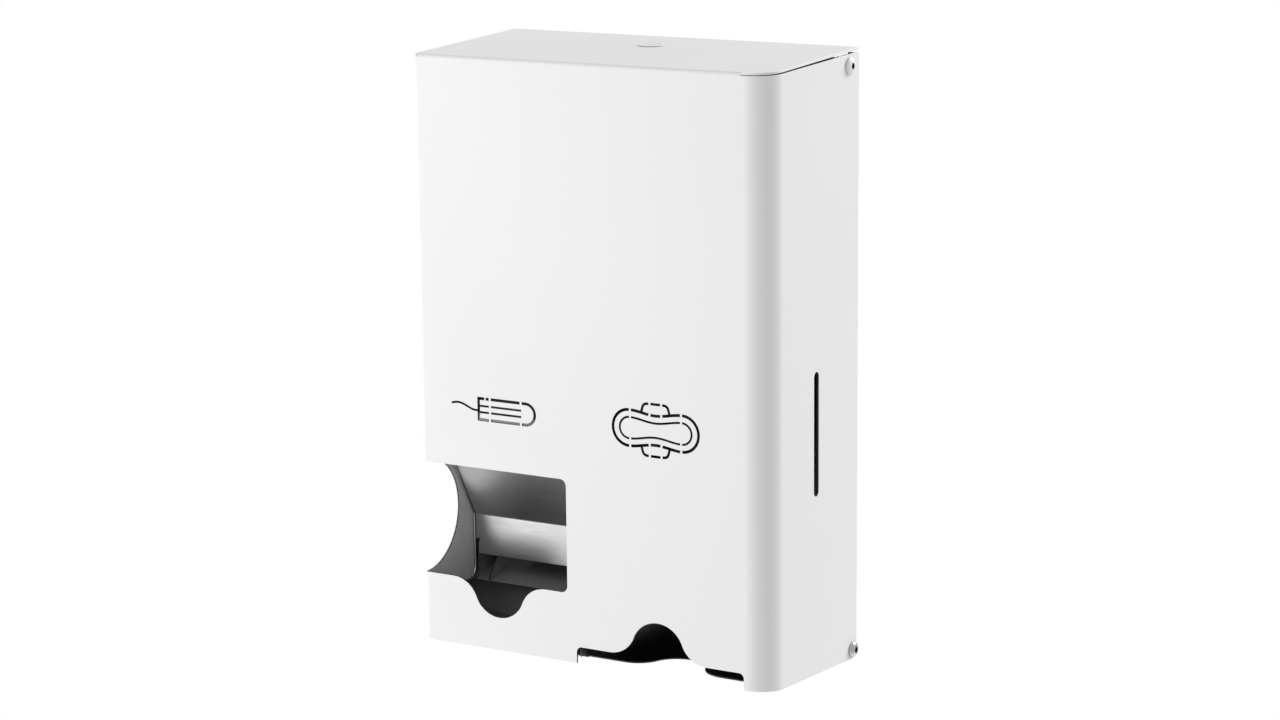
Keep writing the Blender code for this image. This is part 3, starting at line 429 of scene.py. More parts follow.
class Piece:
    """A mesh built from bmesh bodies, cut and joined with exact Booleans."""

    def __init__(self, name, bm):
        self.name = name
        self.ob = self._make(name, bm)
        self.tools = []

    @staticmethod
    def _make(name, bm):
        bmesh.ops.recalc_face_normals(bm, faces=bm.faces)
        me = bpy.data.meshes.new(name)
        bm.to_mesh(me)
        bm.free()
        ob = bpy.data.objects.new(name, me)
        bpy.context.scene.collection.objects.link(ob)
        return ob

    def op(self, bm, kind="DIFFERENCE", lined=False):
        """lined: the cut's walls take the piece's second material."""
        if lined:
            for f in bm.faces:
                f.material_index = 1
        tool = self._make(self.name + "_tool", bm)
        m = self.ob.modifiers.new(kind, "BOOLEAN")
        m.operation = kind
        m.solver = "EXACT"
        m.object = tool
        self.tools.append(tool)
        return self

    def bake(self):
        """Turns the modifiers into plain mesh and drops the cutters."""
        bpy.context.view_layer.update()
        dg = bpy.context.evaluated_depsgraph_get()
        me = bpy.data.meshes.new_from_object(self.ob.evaluated_get(dg))
        self.ob.modifiers.clear()
        old = self.ob.data
        self.ob.data = me
        bpy.data.meshes.remove(old)
        me.name = self.name
        for t in self.tools:
            d = t.data
            bpy.data.objects.remove(t)
            bpy.data.meshes.remove(d)
        self.tools = []
        return me

    def done(self, body, node, slot, mat, bevel=0.22, segments=2, angle=32, smooth=34, late=()):
        """Applies the cuts, eases the edges and puts the piece on its body."""
        mats = list(mat) if isinstance(mat, (list, tuple)) else [mat]
        for holder in [self.ob] + self.tools:
            for k in mats:
                holder.data.materials.append(k)
        me = self.bake()
        bm = bmesh.new()
        bm.from_mesh(me)
        bmesh.ops.remove_doubles(bm, verts=bm.verts, dist=0.000004)
        bmesh.ops.dissolve_limit(bm, angle_limit=math.radians(0.4), verts=bm.verts, edges=bm.edges,
                                 delimit={"MATERIAL"})
        bm.to_mesh(me)
        bm.free()
        me.shade_smooth()
        me.set_sharp_from_angle(angle=math.radians(smooth))
        if bevel > 0:
            base = BVHTree.FromPolygons([v.co.copy() for v in me.vertices], [tuple(p.vertices) for p in me.polygons])
            m = self.ob.modifiers.new("edges", "BEVEL")
            m.width = bevel * 0.001
            m.segments = segments
            m.limit_method = "ANGLE"
            m.angle_limit = math.radians(angle)
            m.use_clamp_overlap = False
            m.harden_normals = not late
            m.miter_outer = "MITER_ARC"
            me = self.bake()
            # a corner that strays from the surface is put back on it
            for v in me.vertices:
                near, _, _, d = base.find_nearest(v.co)
                if d > bevel * 0.00115:
                    v.co = near
        if late:
            for bm in late:
                self.op(bm, lined=True)
            for holder in self.tools:
                for k in mats:
                    holder.data.materials.append(k)
            me = self.bake()
            mend(me)
            me.shade_smooth()
            me.set_sharp_from_angle(angle=math.radians(14))
        # easing an edge leaves nothing outside the model's box
        for v in me.vertices:
            v.co = [min(max(c, lo), hi) for c, lo, hi in zip(v.co, CAD_BOX[0], CAD_BOX[1])]
        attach(self.ob, body)
        if node:
            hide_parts(*([node] if isinstance(node, str) else node))
        return self.ob


# ----------------------------------------------------------------- front cover
def lid_plan():
    """Plan of the lid: behind the top bend, and forward to the face beyond its ends."""
    return ([(-HW + BEND_R, BEND_R), (RELIEF_X, BEND_R), (RELIEF_X, 0.25), (HW - CORNER_R, 0.25)]
            + arc(HW - CORNER_R, CORNER_R, CORNER_R - 0.25, 270, 360, 36)[1:]
            + [(HW - 0.25, COVER_REAR), (-HW + 0.25, COVER_REAR)]
            + arc(-HW + 1.6, 1.6, 1.35, 180, 270, 6) + [(-HW + BEND_R, 0.25)])


def make_cover():
    n = 10
    zc = lid_z(BEND_R) - BEND_R
    ri = BEND_R - SKIN
    outer = [(0.0, -12.0)] + [(BEND_R - BEND_R * math.cos(math.radians(q)), zc + BEND_R * math.sin(math.radians(q)))
                             for q in [90.0 * i / n for i in range(n + 1)]]
    inner = [(BEND_R, lid_z(BEND_R) - SKIN)] + [
        (BEND_R - ri * math.sin(math.radians(q)), zc + ri * math.cos(math.radians(q)))
        for q in [90.0 * i / 6 for i in range(1, 7)]] + [(SKIN, -12.0)]
    bm = bmesh.new()
    prism(bm, outer + inner, "YZ", -HW + BEND_R, RELIEF_X)
    c = Piece("cover_shell", bm)
    bm = bmesh.new()
    prism(bm, [(-HW + BEND_R, 0.0)] + arc(-HW + BEND_R, BEND_R, BEND_R, 270, 180, 10)[1:] + [(-HW, COVER_REAR)]
          + [(-HW + SKIN, COVER_REAR)] + arc(-HW + BEND_R, BEND_R, ri, 180, 270, 8), "XY", -12.0, side_z(0))
    c.op(bm, "UNION")
    bm = bmesh.new()
    prism(bm, [(RELIEF_X, 0.0), (HW - CORNER_R, 0.0)] + arc(HW - CORNER_R, CORNER_R, CORNER_R, 270, 360, 40)[1:]
          + [(HW, COVER_REAR), (HW - SKIN, COVER_REAR)] + arc(HW - CORNER_R, CORNER_R, CORNER_R - SKIN, 0, -90, 40)
          + [(RELIEF_X, SKIN)], "XY", -12.0, side_z(0))
    c.op(bm, "UNION")
    bm = bmesh.new()
    for x0, x1 in ((-HW, -HW + SKIN), (HW - SKIN, HW)):
        prism(bm, [(CORNER_R, side_z(0) - 6), (COVER_REAR, side_z(0) - 6), (COVER_REAR, side_z(COVER_REAR)),
                   (CORNER_R, side_z(0))], "YZ", x0, x1)
    c.op(bm, "UNION")
    plan = lid_plan()
    bm = bmesh.new()
    lo = [bm.verts.new(P(x, y, lid_z(y) - SKIN)) for x, y in plan]
    hi = [bm.verts.new(P(x, y, lid_z(y))) for x, y in plan]
    bm.faces.new(lo)
    bm.faces.new(hi[::-1])
    for i in range(len(plan)):
        j = (i + 1) % len(plan)
        bm.faces.new((lo[j], lo[i], hi[i], hi[j]))
    c.op(bm, "UNION")

    d = math.hypot(HINGE_Y, HINGE_Z)
    fall = math.atan2(-HINGE_Z, HINGE_Y) + math.asin(HINGE_CORNER / d)
    bm = bmesh.new()
    prism(bm, [(-6.0, 6.0 * math.tan(fall))]
          + arc(HINGE_Y, HINGE_Z, HINGE_CORNER, 270 - math.degrees(fall), 360, 24)
          + [(140.0, HINGE_Z), (140.0, -30.0), (-6.0, -30.0)], "YZ", -HW - 5, HW + 5)
    c.op(bm)

    # the cuts below are lined with the dark cut-edge material: painted shade on their walls
    r = WINDOW_R
    win = [(-HW - 6, WINDOW_Z0)] + bell(NOTCH_X, WINDOW_Z0, -1)
    win += [(WINDOW_X1 - r, WINDOW_Z0)] + arc(WINDOW_X1 - r, WINDOW_Z0 + r, r, 270, 360, 12)[1:]
    win += arc(WINDOW_X1 - r, WINDOW_Z1 - r, r, 0, 90, 12) + [(-HW - 6, WINDOW_Z1)]
    bm = bmesh.new()
    prism(bm, win, "XZ", -5.0, 2.2)
    c.op(bm, lined=True)
    zc = (WINDOW_Z0 + WINDOW_Z1) / 2
    bm = bmesh.new()
    prism(bm, [(-6.0, WINDOW_Z0), (ARC_Y, WINDOW_Z0)] + arc(ARC_Y, zc, ARC_R, 270, 450, 60)[1:-1]
          + [(ARC_Y, WINDOW_Z1), (-6.0, WINDOW_Z1)], "YZ", -HW - 6, -HW + 6)
    c.op(bm, lined=True)

    r = 3.6
    out = [(OUTLET_X0, -20.0), (OUTLET_X0, OUTLET_Z - r)]
    out += arc(OUTLET_X0 + r, OUTLET_Z - r, r, 180, 90, 8)[1:]
    out += bell(PAD_X, OUTLET_Z, 1)
    out += arc(OUTLET_X1 - r, OUTLET_Z - r, r, 90, 0, 8) + [(OUTLET_X1, -20.0)]
    bm = bmesh.new()
    prism(bm, out, "XZ", -5.0, 4.0)
    c.op(bm, lined=True)

    w = SIGHT_W / 2
    bm = bmesh.new()
    prism(bm, arc(SIGHT_Y, SIGHT_Z1 - w, w, 0, 180, 20) + arc(SIGHT_Y, SIGHT_Z0 + w, w, 180, 360, 20),
          "YZ", HW - 6, HW + 6)
    for x0, x1 in ((-HW - 4, -HW + 4), (HW - 4, HW + 4)):
        prism(bm, circle(HINGE_Y, HINGE_Z, 4.5), "YZ", x0, x1)
        prism(bm, circle(TOP_SCREW_Y, TOP_SCREW_Z, 3.4), "YZ", x0, x1)
    lathe(bm, [(0, -6), (7.8, -6), (7.8, 6), (0, 6)], LOCK_FRAME, 48)
    c.op(bm, lined=True)
    late = []
    for strokes, w in pictograms():
        bm = bmesh.new()
        for pts in strokes:
            prism(bm, ribbon(pts, w), "XZ", -2.0, SKIN + 2.0)
        late.append(bm)
    return c.done("cover", "front_cover", "white_paint", [WHITE, SHADE_EDGE], 0.22, 3, late=late)


def pictograms():
    """Stencil-cut marks: lists of (strokes, width) to cut one after another."""
    x0, xr, zc, h = -86.3, -49.7, 165.45, 7.15
    gap_a, gap_b = (x0 + 8.0, x0 + 9.6), (xr - 4.5, xr - 2.9)
    outline = [
        [(x0 + 4.5, zc + h), (x0, zc + h), (x0, zc - h), (gap_a[0], zc - h)],
        [(x0 + 5.6, zc + h), (gap_a[0], zc + h)],
        [(gap_a[1], zc + h), (gap_b[0], zc + h)],
        [(gap_a[1], zc - h), (gap_b[0], zc - h)],
        [(gap_b[1], zc + h)] + arc(xr, zc, h, 90, -90, 32) + [(gap_b[1], zc - h)],
    ]
    grooves = []
    for s in (2.15, -2.15):
        grooves += [[(x0 + 0.3, zc + s), (gap_a[0], zc + s)], [(gap_a[1], zc + s), (xr - 3.3, zc + s)]]
    k = 40
    string = [(x0 - 21.4 + 21.0 * i / k,
               zc + 1.1 + 2.35 * math.sin(math.pi * (0.18 + 1.44 * i / k)) * (0.75 + 0.2 * i / k)) for i in range(k + 1)]
    marks = [(outline, 2.0), (grooves + [string], 1.45)]

    cx, cz = PAD_X - 0.2, 165.2
    side, mid, g = 18.95, 4.35, 0.75

    def half(lobe_x, lobe_r, waist):
        a, b = (lobe_r + waist) / 2, (lobe_r - waist) / 2
        return lambda u: a - b * math.cos(math.pi * u / lobe_x)

    def along(rule, s, a, b, k):
        return [(cx + a + (b - a) * i / k, cz + s * rule(a + (b - a) * i / k)) for i in range(k + 1)]

    out_h, in_h = half(19.7, 12.0, 9.7), half(19.5, 7.1, 4.75)
    outer, inner, tabs = [], [], []
    for s in (1, -1):
        outer.append([(cx + s * (side + g), cz + 12.0)] + [(cx + s * q[0], cz + q[1]) for q in arc(19.7, 0, 12.0, 87, -87, 40)]
                     + [(cx + s * (side + g), cz - 12.0)])
        inner.append([(cx + s * q[0], cz + q[1]) for q in arc(19.5, 0, 7.1, 89, -89, 30)])
        for a, b, k in ((-side + g, -mid - g, 12), (-mid + g, mid - g, 8), (mid + g, side - g, 12)):
            outer.append(along(out_h, s, a, b, k))
        inner.append(along(in_h, s, -side + g, side - g, 34))
        tabs.append([(cx - mid + g, cz + s * 17.3), (cx + mid - g, cz + s * 17.3)])
        for e in (1, -1):
            tabs.append(fillet([(cx + e * 10.5, cz + s * 11.3), (cx + e * 8.9, cz + s * 17.0), (cx + e * (mid + g), cz + s * 17.3)],
                               3.2, 12))
    return marks + [(outer, 2.0), (inner, 1.45), (tabs, 1.8)]


# ----------------------------------------------------------------- inner frame
REAR_RIVETS = (("tray_rivet_1", 15.0, 8.0), ("tray_rivet_2", 90.0, 8.0), ("trough_rivet_1", -105.0, 29.0),
               ("trough_rivet_2", -40.0, 29.0), ("divider_rivet_1", -9.5, 60.0), ("divider_rivet_2", -9.5, 335.0))
SIDE_RIVETS = (("keeper_rivet_1", 84.0, 350.0), ("keeper_rivet_2", 97.0, 350.0))


def rear_holes(prefix):
    bm = bmesh.new()
    for name, x, z in REAR_RIVETS:
        if name.startswith(prefix):
            prism(bm, circle(x, z, 1.9, 20), "XZ", 120.0, 130.0)
    return bm


def keyhole(bm, x, z):
    r, w, up = 4.6, 2.3, 11.0
    a = math.degrees(math.asin(w / r))
    prism(bm, arc(x, z, r, 90 + a, 450 - a, 32) + arc(x, z + up, w, 0, 180, 14), "XZ", 120.0, 132.0)


def make_frame():
    fx = FRAME_X
    ro, ri = 1.6, 0.4
    plan = ([(-fx, GUARD_Y), (-fx + FRAME_T, GUARD_Y)]
            + arc(-fx + FRAME_T + ri, BACK_Y - ri, ri, 180, 90, 4) + arc(fx - FRAME_T - ri, BACK_Y - ri, ri, 90, 0, 4)
            + [(fx - FRAME_T, CHEEK_Y), (fx, CHEEK_Y)] + arc(fx - ro, DEPTH - ro, ro, 0, 90, 6)
            + arc(-fx + ro, DEPTH - ro, ro, 90, 180, 6))
    bm = bmesh.new()
    prism(bm, plan, "XY", -8.2, 400.4)
    f = Piece("frame_shell", bm)
    bm = bmesh.new()
    prism(bm, fillet([(0.0, 374.0), (88.0, 384.0), (99.0, 386.5), (99.0, 410.0)], [6.0, 1.2], 8) + [(0.0, 410.0)],
          "YZ", -fx - 3, fx + 3)
    f.op(bm)
    bm = bmesh.new()
    prism(bm, fillet([(-fx + 6, 412.0), (-fx + 6, 396.5), (fx - 6, 396.5), (fx - 6, 412.0)], 2.5, 8), "XZ", 118.0, 130.0)
    f.op(bm)
    bm = bmesh.new()
    prism(bm, [(90.0, TOP_SCREW_Z - 4.7)] + arc(TOP_SCREW_Y, TOP_SCREW_Z, 4.7, -90, 90, 24)
          + [(90.0, TOP_SCREW_Z + 4.7)], "YZ", -fx - 4, fx + 4)
    f.op(bm)
    bm = bmesh.new()
    prism(bm, [(0.0, 2.2), (100.0, -3.6), (HINGE_Y - 9.5, -3.9)] + arc(HINGE_Y, HINGE_Z, 6.3, 190, 290, 20)
          + [(132.0, -7.9), (132.0, -20.0), (0.0, -20.0)], "YZ", -fx - 3, fx + 3)
    f.op(bm)
    k = 0.7
    top = BAND_TOP + (BAND_Y - GUARD_Y) / CHUTE_SLOPE
    bm = bmesh.new()
    prism(bm, [(0.0, top), (GUARD_Y - k, top), (BAND_Y - k, BAND_TOP)]
          + arc(BAND_Y - k - 8.0, 38.0, 8.0, 0, -90, 20) + [(0.0, 30.0)], "YZ", -fx - 3, -fx + 3)
    f.op(bm)
    bm = bmesh.new()
    for a, b in ((-fx - 4, -fx + 4), (fx - 4, fx + 4)):
        prism(bm, circle(HINGE_Y, HINGE_Z, 3.4), "YZ", a, b)
    w = SIGHT_W / 2 + 2.0
    prism(bm, arc(SIGHT_Y, SIGHT_Z1 - w + 4, w, 0, 180, 18) + arc(SIGHT_Y, SIGHT_Z0 + w - 4, w, 180, 360, 18),
          "YZ", fx - 4, fx + 4)
    for x in (-95.0, 95.0):
        keyhole(bm, x, 370.0)
        keyhole(bm, x, 60.0)
    f.op(bm)
    f.op(rear_holes(""))
    # the left cheek's inner edge is rolled over beside the band; the roll takes a brighter steel than the sheet, a
    # painted highlight
    me = f.bake()
    bm = bmesh.new()
    bm.from_mesh(me)
    bmesh.ops.remove_doubles(bm, verts=bm.verts, dist=0.000004)
    bmesh.ops.dissolve_limit(bm, angle_limit=math.radians(0.4), verts=bm.verts, edges=bm.edges)
    rolled = [e for e in bm.edges if all(
        abs(v.co.x * 1000 + fx - FRAME_T) < 0.02 and 48.0 < v.co.y * 1000 + DEPTH < BAND_Y
        and 29.0 < v.co.z * 1000 + ORIGIN_Z < BAND_TOP + 0.1 for v in e.verts)]
    bmesh.ops.bevel(bm, geom=rolled, offset=0.0010, segments=5, profile=0.5, affect="EDGES", clamp_overlap=True,
                    material=1)
    # beside the throat the left cheek's inner face takes a lighter grey: painted light lifting the shade there
    for co, no in (((0, 61.0, 0), (0, 1, 0)), ((0, 0, 60.0), (0, 0, 1))):
        part = [g for g in bm.faces if g.normal.x > 0.99 and abs(g.calc_center_median().x * 1000 + fx - FRAME_T) < 0.02]
        geom = part + list({e for g in part for e in g.edges}) + list({v for g in part for v in g.verts})
        bmesh.ops.bisect_plane(bm, geom=geom, plane_co=P(*co), plane_no=no)
    for g in bm.faces:
        c = g.calc_center_median() * 1000
        if g.normal.x > 0.99 and abs(c.x + fx - FRAME_T) < 0.02 and c.y + DEPTH > 61.0 and c.z + ORIGIN_Z < 60.0:
            g.material_index = 2
    bm.to_mesh(me)
    bm.free()
    return f.done("frame", "back_frame", "brushed_sheet", [STEEL_Z, ROLLED_EDGE_GLINT, LIFT_GREY], 0.42, 3)


def make_divider():
    yr = BACK_Y - 0.4
    plan = sheet_path(fillet([(DIVIDER_X1, GUARD_Y + 1.8), (DIVIDER_X1, yr - INNER_T), (-4.0, yr - INNER_T)], 0.5, 5), INNER_T)
    bm = bmesh.new()
    prism(bm, plan, "XY", 1.2, MAG_TOP)
    d = Piece("divider_sheet", bm)
    bm = bmesh.new()
    box(bm, DIVIDER_X1 + 0.02, 2.0, 100.0, 130.0, -5.0, 20.0)
    d.op(bm)
    bm = bmesh.new()
    prism(bm, fillet([(0.0, 345.0), (30.0, 345.0), (52.0, 362.0), (52.0, 380.0)], [14.0, 3.0], 10) + [(0.0, 380.0)],
          "YZ", -20.0, -10.0)
    d.op(bm)
    d.op(rear_holes("divider"))
    bm = bmesh.new()
    for name, y, z in SIDE_RIVETS:
        prism(bm, circle(y, z, 1.9, 20), "YZ", -20.0, -10.0)
    d.op(bm)
    # the divider takes a dark steel: painted shade, keeping it dark through the outlet
    return d.done("frame", "divider_plate", "brushed_sheet", SHADE_STEEL_UPRIGHT, 0.14)


def make_chute():
    t = INNER_T
    zb = BAND_TOP + (BAND_Y - GUARD_Y) / CHUTE_SLOPE
    line = fillet([(GUARD_Y, MAG_TOP - 18.0), (GUARD_Y, zb), (BAND_Y, BAND_TOP), (BAND_Y, BAND_LOW)], [3.0, 2.6], 10)
    x0 = -FRAME_X + FRAME_T + 0.4
    bm = bmesh.new()
    prism(bm, sheet_path(line, t), "YZ", x0, -16.4)
    c = Piece("chute_sheet", bm)
    bm = bmesh.new()
    for a in (x0, -16.4 - t):
        box(bm, a, a + t, GUARD_Y + 0.5, GUARD_Y + 15.0, 190.0, 343.5)
    c.op(bm, "UNION")
    # corner relief at the left of the band, with a round end
    bm = bmesh.new()
    r, cz, edge = 1.1, 56.5, x0 + 2.0
    prism(bm, [(x0 - 3.0, 40.0), (edge, 40.0)] + arc(edge - 0.2, cz, r, -math.degrees(math.acos(0.2 / r)), 180, 20)
          + [(x0 - 3.0, cz)], "XZ", 50.0, 66.0)
    c.op(bm)
    ob = c.done("frame", "tampon_chute_plate", "brushed_sheet", [STEEL_X, SHADE_STEEL], 0.14)
    # the upright sheet above the slope takes a dark steel: painted shade behind the stencil cuts
    for poly in ob.data.polygons:
        if poly.center.z * 1000 + ORIGIN_Z > zb - 0.5:
            poly.material_index = 1
    return ob


END_X0, END_X1 = -118.6, -117.6       # end guide at the left of the throat


def make_trough():
    t = INNER_T
    line = fillet([(BACK_Y - 0.4, 41.0), (57.0, 28.0), (31.0, 15.5), (4.2, 15.5), (4.2, 44.6)], [5.0, 18.0, 9.0], 16)
    bm = bmesh.new()
    prism(bm, list(line) + offset_line(line, t)[::-1], "YZ", -FRAME_X + FRAME_T + 0.4, -16.4)
    c = Piece("trough_sheet", bm)
    bm = bmesh.new()
    edge = fillet([(58.2, 28.0), (58.2, 30.0), (73.5, 50.0), (73.5, 58.0)], [2.0, 12.0], 14)
    prism(bm, edge + [(116.0, 58.0), (116.0, 38.9)], "YZ", END_X0, END_X1)
    c.op(bm, "UNION")
    bm = bmesh.new()
    box(bm, -FRAME_X + FRAME_T + 6.0, -22.0, BACK_Y - 0.4 - t, BACK_Y - 0.4, 20.0, 40.6)
    c.op(bm, "UNION")
    bm = bmesh.new()
    note = bell(NOTCH_X, 45.4, -1, 12, 1.6)
    prism(bm, [(note[0][0], 60.0)] + note + [(note[-1][0], 60.0)], "XZ", -2.0, 12.0)
    c.op(bm)
    c.op(rear_holes("trough"))
    ob = c.done("frame", "tampon_trough", "black_paint", [TROUGH, LIFT_GREY], 0.14)
    # behind the step the floor, and the end guide's flat sides, take a lighter grey: painted light lifting their shade;
    # the guide's eased edges keep the black, a painted dark line of shade
    for poly in ob.data.polygons:
        c = poly.center * 1000
        guide = abs(c.x - (END_X0 + END_X1) / 2) < 0.6
        if c.y + DEPTH > 57.5 and (abs(poly.normal.x) > 0.99 if guide else poly.normal.z > 0.5):
            poly.material_index = 1
    return ob


def make_guard():
    t = INNER_T
    x0, x1 = -14.6, FRAME_X - FRAME_T - 0.4
    plan = sheet_path(fillet([(x0, GUARD_Y + 15.0), (x0, GUARD_Y), (x1 - 10.0, GUARD_Y), (x1, GUARD_Y + 10.0),
                              (x1, GUARD_Y + 26.0)], [1.8, 3.0, 3.0], 8), t)
    bm = bmesh.new()
    prism(bm, plan, "XY", 14.0, MAG_TOP - 18.0)
    c = Piece("guard_sheet", bm)
    bm = bmesh.new()
    note = bell(PAD_X, 13.6, 1, 12, 2.4)
    prism(bm, [(note[0][0], -4.0)] + note + [(note[-1][0], -4.0)], "XZ", 2.0, 14.0)
    c.op(bm)
    # the guard is black: painted shade keeping the pad stencil's cuts and the outlet dark
    return c.done("frame", "pad_guard_plate", "black_paint", BLACK, 0.14)


def make_tray():
    t = INNER_T
    x0, x1 = -14.4, FRAME_X - FRAME_T - 0.4
    yb = BACK_Y - 0.4
    xa = -30.0
    bm = bmesh.new()
    prism(bm, [(xa, -t - 0.6), (x0 - 1.0, -t - 0.6), (x0, -t), (x1, -t), (x1, 0.0),
               (x0, 0.0), (x0 - 1.0, -0.6), (xa, -0.6)], "XZ", TRAY_Y, yb)
    c = Piece("tray_sheet", bm)
    bm = bmesh.new()
    note = bell(PAD_X, TRAY_Y, 1, 14)
    prism(bm, [(note[0][0], TRAY_Y - 6.0)] + note + [(note[-1][0], TRAY_Y - 6.0)], "XY", -4.0, 4.0)
    c.op(bm)
    bm = bmesh.new()
    box(bm, x1 - INNER_T, x1, 37.0, 106.0, -0.6, 15.0)
    box(bm, x0 + 6.0, x1 - 12.0, yb - INNER_T, yb, -0.6, 15.0)
    c.op(bm, "UNION")
    bm = bmesh.new()
    box(bm, x1 - 9.0, x1 + 5.0, 109.0, 130.0, -6.0, 20.0)
    c.op(bm)
    c.op(rear_holes("tray"))
    return c.done("frame", "pad_tray", "black_paint", BLACK, 0.14)


def make_keeper():
    x0, x1 = -14.6, -13.4
    bm = bmesh.new()
    prism(bm, fillet([(76.0, 374.0), (76.0, 340.0), (104.0, 340.0), (104.0, 360.0), (84.0, 374.0)], [0.0, 2.5, 3.0], 6),
          "YZ", x0, x1)
    c = Piece("keeper_bracket", bm)
    bm = bmesh.new()
    prism(bm, fillet([(x1, 364.5), (-40.0, 368.0), (-40.0, 387.0), (x1, 387.0)], [2.0, 2.5], 6), "XZ", 76.0, 77.2)
    c.op(bm, "UNION")
    bm = bmesh.new()
    for name, y, z in SIDE_RIVETS:
        prism(bm, circle(y, z, 1.9, 20), "YZ", -20.0, -10.0)
    c.op(bm)
    return c.done("frame", "lock_keeper", "brushed_sheet", STEEL_Z, 0.14)


def make_rivets():
    lo, hi = BACK_Y - 0.4 - INNER_T, DEPTH - 0.9
    for name, x, z in REAR_RIVETS:
        t = hi - lo
        bm = bmesh.new()
        dome = [(2.9 * math.sin(math.radians(q)), -0.35 - 0.72 * math.cos(math.radians(q))) for q in (0, 14, 28, 42, 56, 70, 82)]
        lathe(bm, [(0, -1.08)] + dome[1:] + [(2.9, -0.15), (1.6, -0.15), (1.6, t), (0, t)], axis_frame(x, lo, z, (0, 1, 0)), 32)
        # a blind rivet's pulled stem leaves a small pit in the head
        c = Piece(name + "_turned", bm)
        bm = bmesh.new()
        lathe(bm, [(0, -2.0), (0.75, -2.0), (0.62, -0.45), (0, -0.45)], axis_frame(x, lo, z, (0, 1, 0)), 20)
        c.op(bm)
        c.done("frame", name, "fastener_steel", SILVER, 0.0, smooth=40)
    for name, y, z in SIDE_RIVETS:
        lo2, t = DIVIDER_X0, -14.6 + 1.2 - DIVIDER_X0
        bm = bmesh.new()
        dome = [(2.9 * math.sin(math.radians(q)), -0.35 - 0.72 * math.cos(math.radians(q))) for q in (14, 28, 42, 56, 70, 82)]
        lathe(bm, [(0, -1.08)] + dome + [(2.9, -0.15), (1.6, -0.15), (1.6, t + 0.15), (2.35, t + 0.15), (2.35, t + 0.7),
                                        (2.0, t + 0.95), (0, t + 1.0)], axis_frame(lo2, y, z, (1, 0, 0)), 32)
        Piece(name + "_turned", bm).done("frame", name, "fastener_steel", SILVER, 0.0, smooth=40)


# ------------------------------------------------------------------- fasteners
def hex_outline(af, n_side=1):
    r = af / 2 / math.cos(math.radians(30))
    return [(r * math.cos(math.radians(60 * i)), r * math.sin(math.radians(60 * i))) for i in range(6)]


def hex_prism(bm, fr, af, h0, h1, turn=0.0):
    c, s = math.cos(math.radians(turn)), math.sin(math.radians(turn))
    pts = [(x * c - y * s, x * s + y * c) for x, y in hex_outline(af)]
    lo = [bm.verts.new(fr @ Vector((x * 0.001, y * 0.001, h0 * 0.001))) for x, y in pts]
    hi = [bm.verts.new(fr @ Vector((x * 0.001, y * 0.001, h1 * 0.001))) for x, y in pts]
    bm.faces.new(lo)
    bm.faces.new(hi[::-1])
    for i in range(6):
        j = (i + 1) % 6
        bm.faces.new((lo[j], lo[i], hi[i], hi[j]))


def nut(name, fr, af, hole, height, body, node, slot, mat):
    """Hexagon nut: its corners are chamfered by a turned body."""
    bm = bmesh.new()
    r = af / 2 / math.cos(math.radians(30))
    c = 0.55
    lathe(bm, [(0, 0), (af / 2 - 0.1, 0), (r, c), (r, height - c), (af / 2 - 0.1, height), (0, height)], fr, 48)
    p = Piece(name, bm)
    bm = bmesh.new()
    hex_prism(bm, fr, af, -1.0, height + 1.0, 30.0)
    p.op(bm, "INTERSECT")
    bm = bmesh.new()
    e = 0.45
    lathe(bm, [(0, -1.0), (hole + e + 1.0, -1.0), (hole, e), (hole, height - e), (hole + e + 1.0, height + 1.0), (0, height + 1.0)], fr, 40)
    p.op(bm)
    return p.done(body, node, slot, mat, 0.06, 2, 40, 30)


def button(name, fr, head_r, head_h, shank_r, shank_l, body, node, slot, mats, socket=4.0):
    bm = bmesh.new()
    dome = [(head_r * math.cos(math.radians(q)), 0.6 + (head_h - 0.6) * math.sin(math.radians(q))) for q in range(0, 73, 6)]
    thread = []
    h = -shank_l + 0.8
    while h < -1.4:
        thread += [(shank_r, h), (shank_r - 0.35, h + 0.5)]
        h += 1.0
    lathe(bm, [(0, -shank_l), (shank_r - 0.6, -shank_l)] + thread + [(shank_r, -0.6), (shank_r, 0.0), (head_r - 0.25, 0.0), (head_r, 0.25)]
          + dome[1:] + [(0, head_h)], fr, 48)
    p = Piece(name, bm)
    # the hex socket's walls take the dark cut-edge material: painted shade in the recess
    bm = bmesh.new()
    hex_prism(bm, fr, socket, head_h - 2.3, head_h + 2.0)
    p.op(bm, lined=True)
    ob = p.done(body, node, slot, mats, 0.0, smooth=38)
    return ob


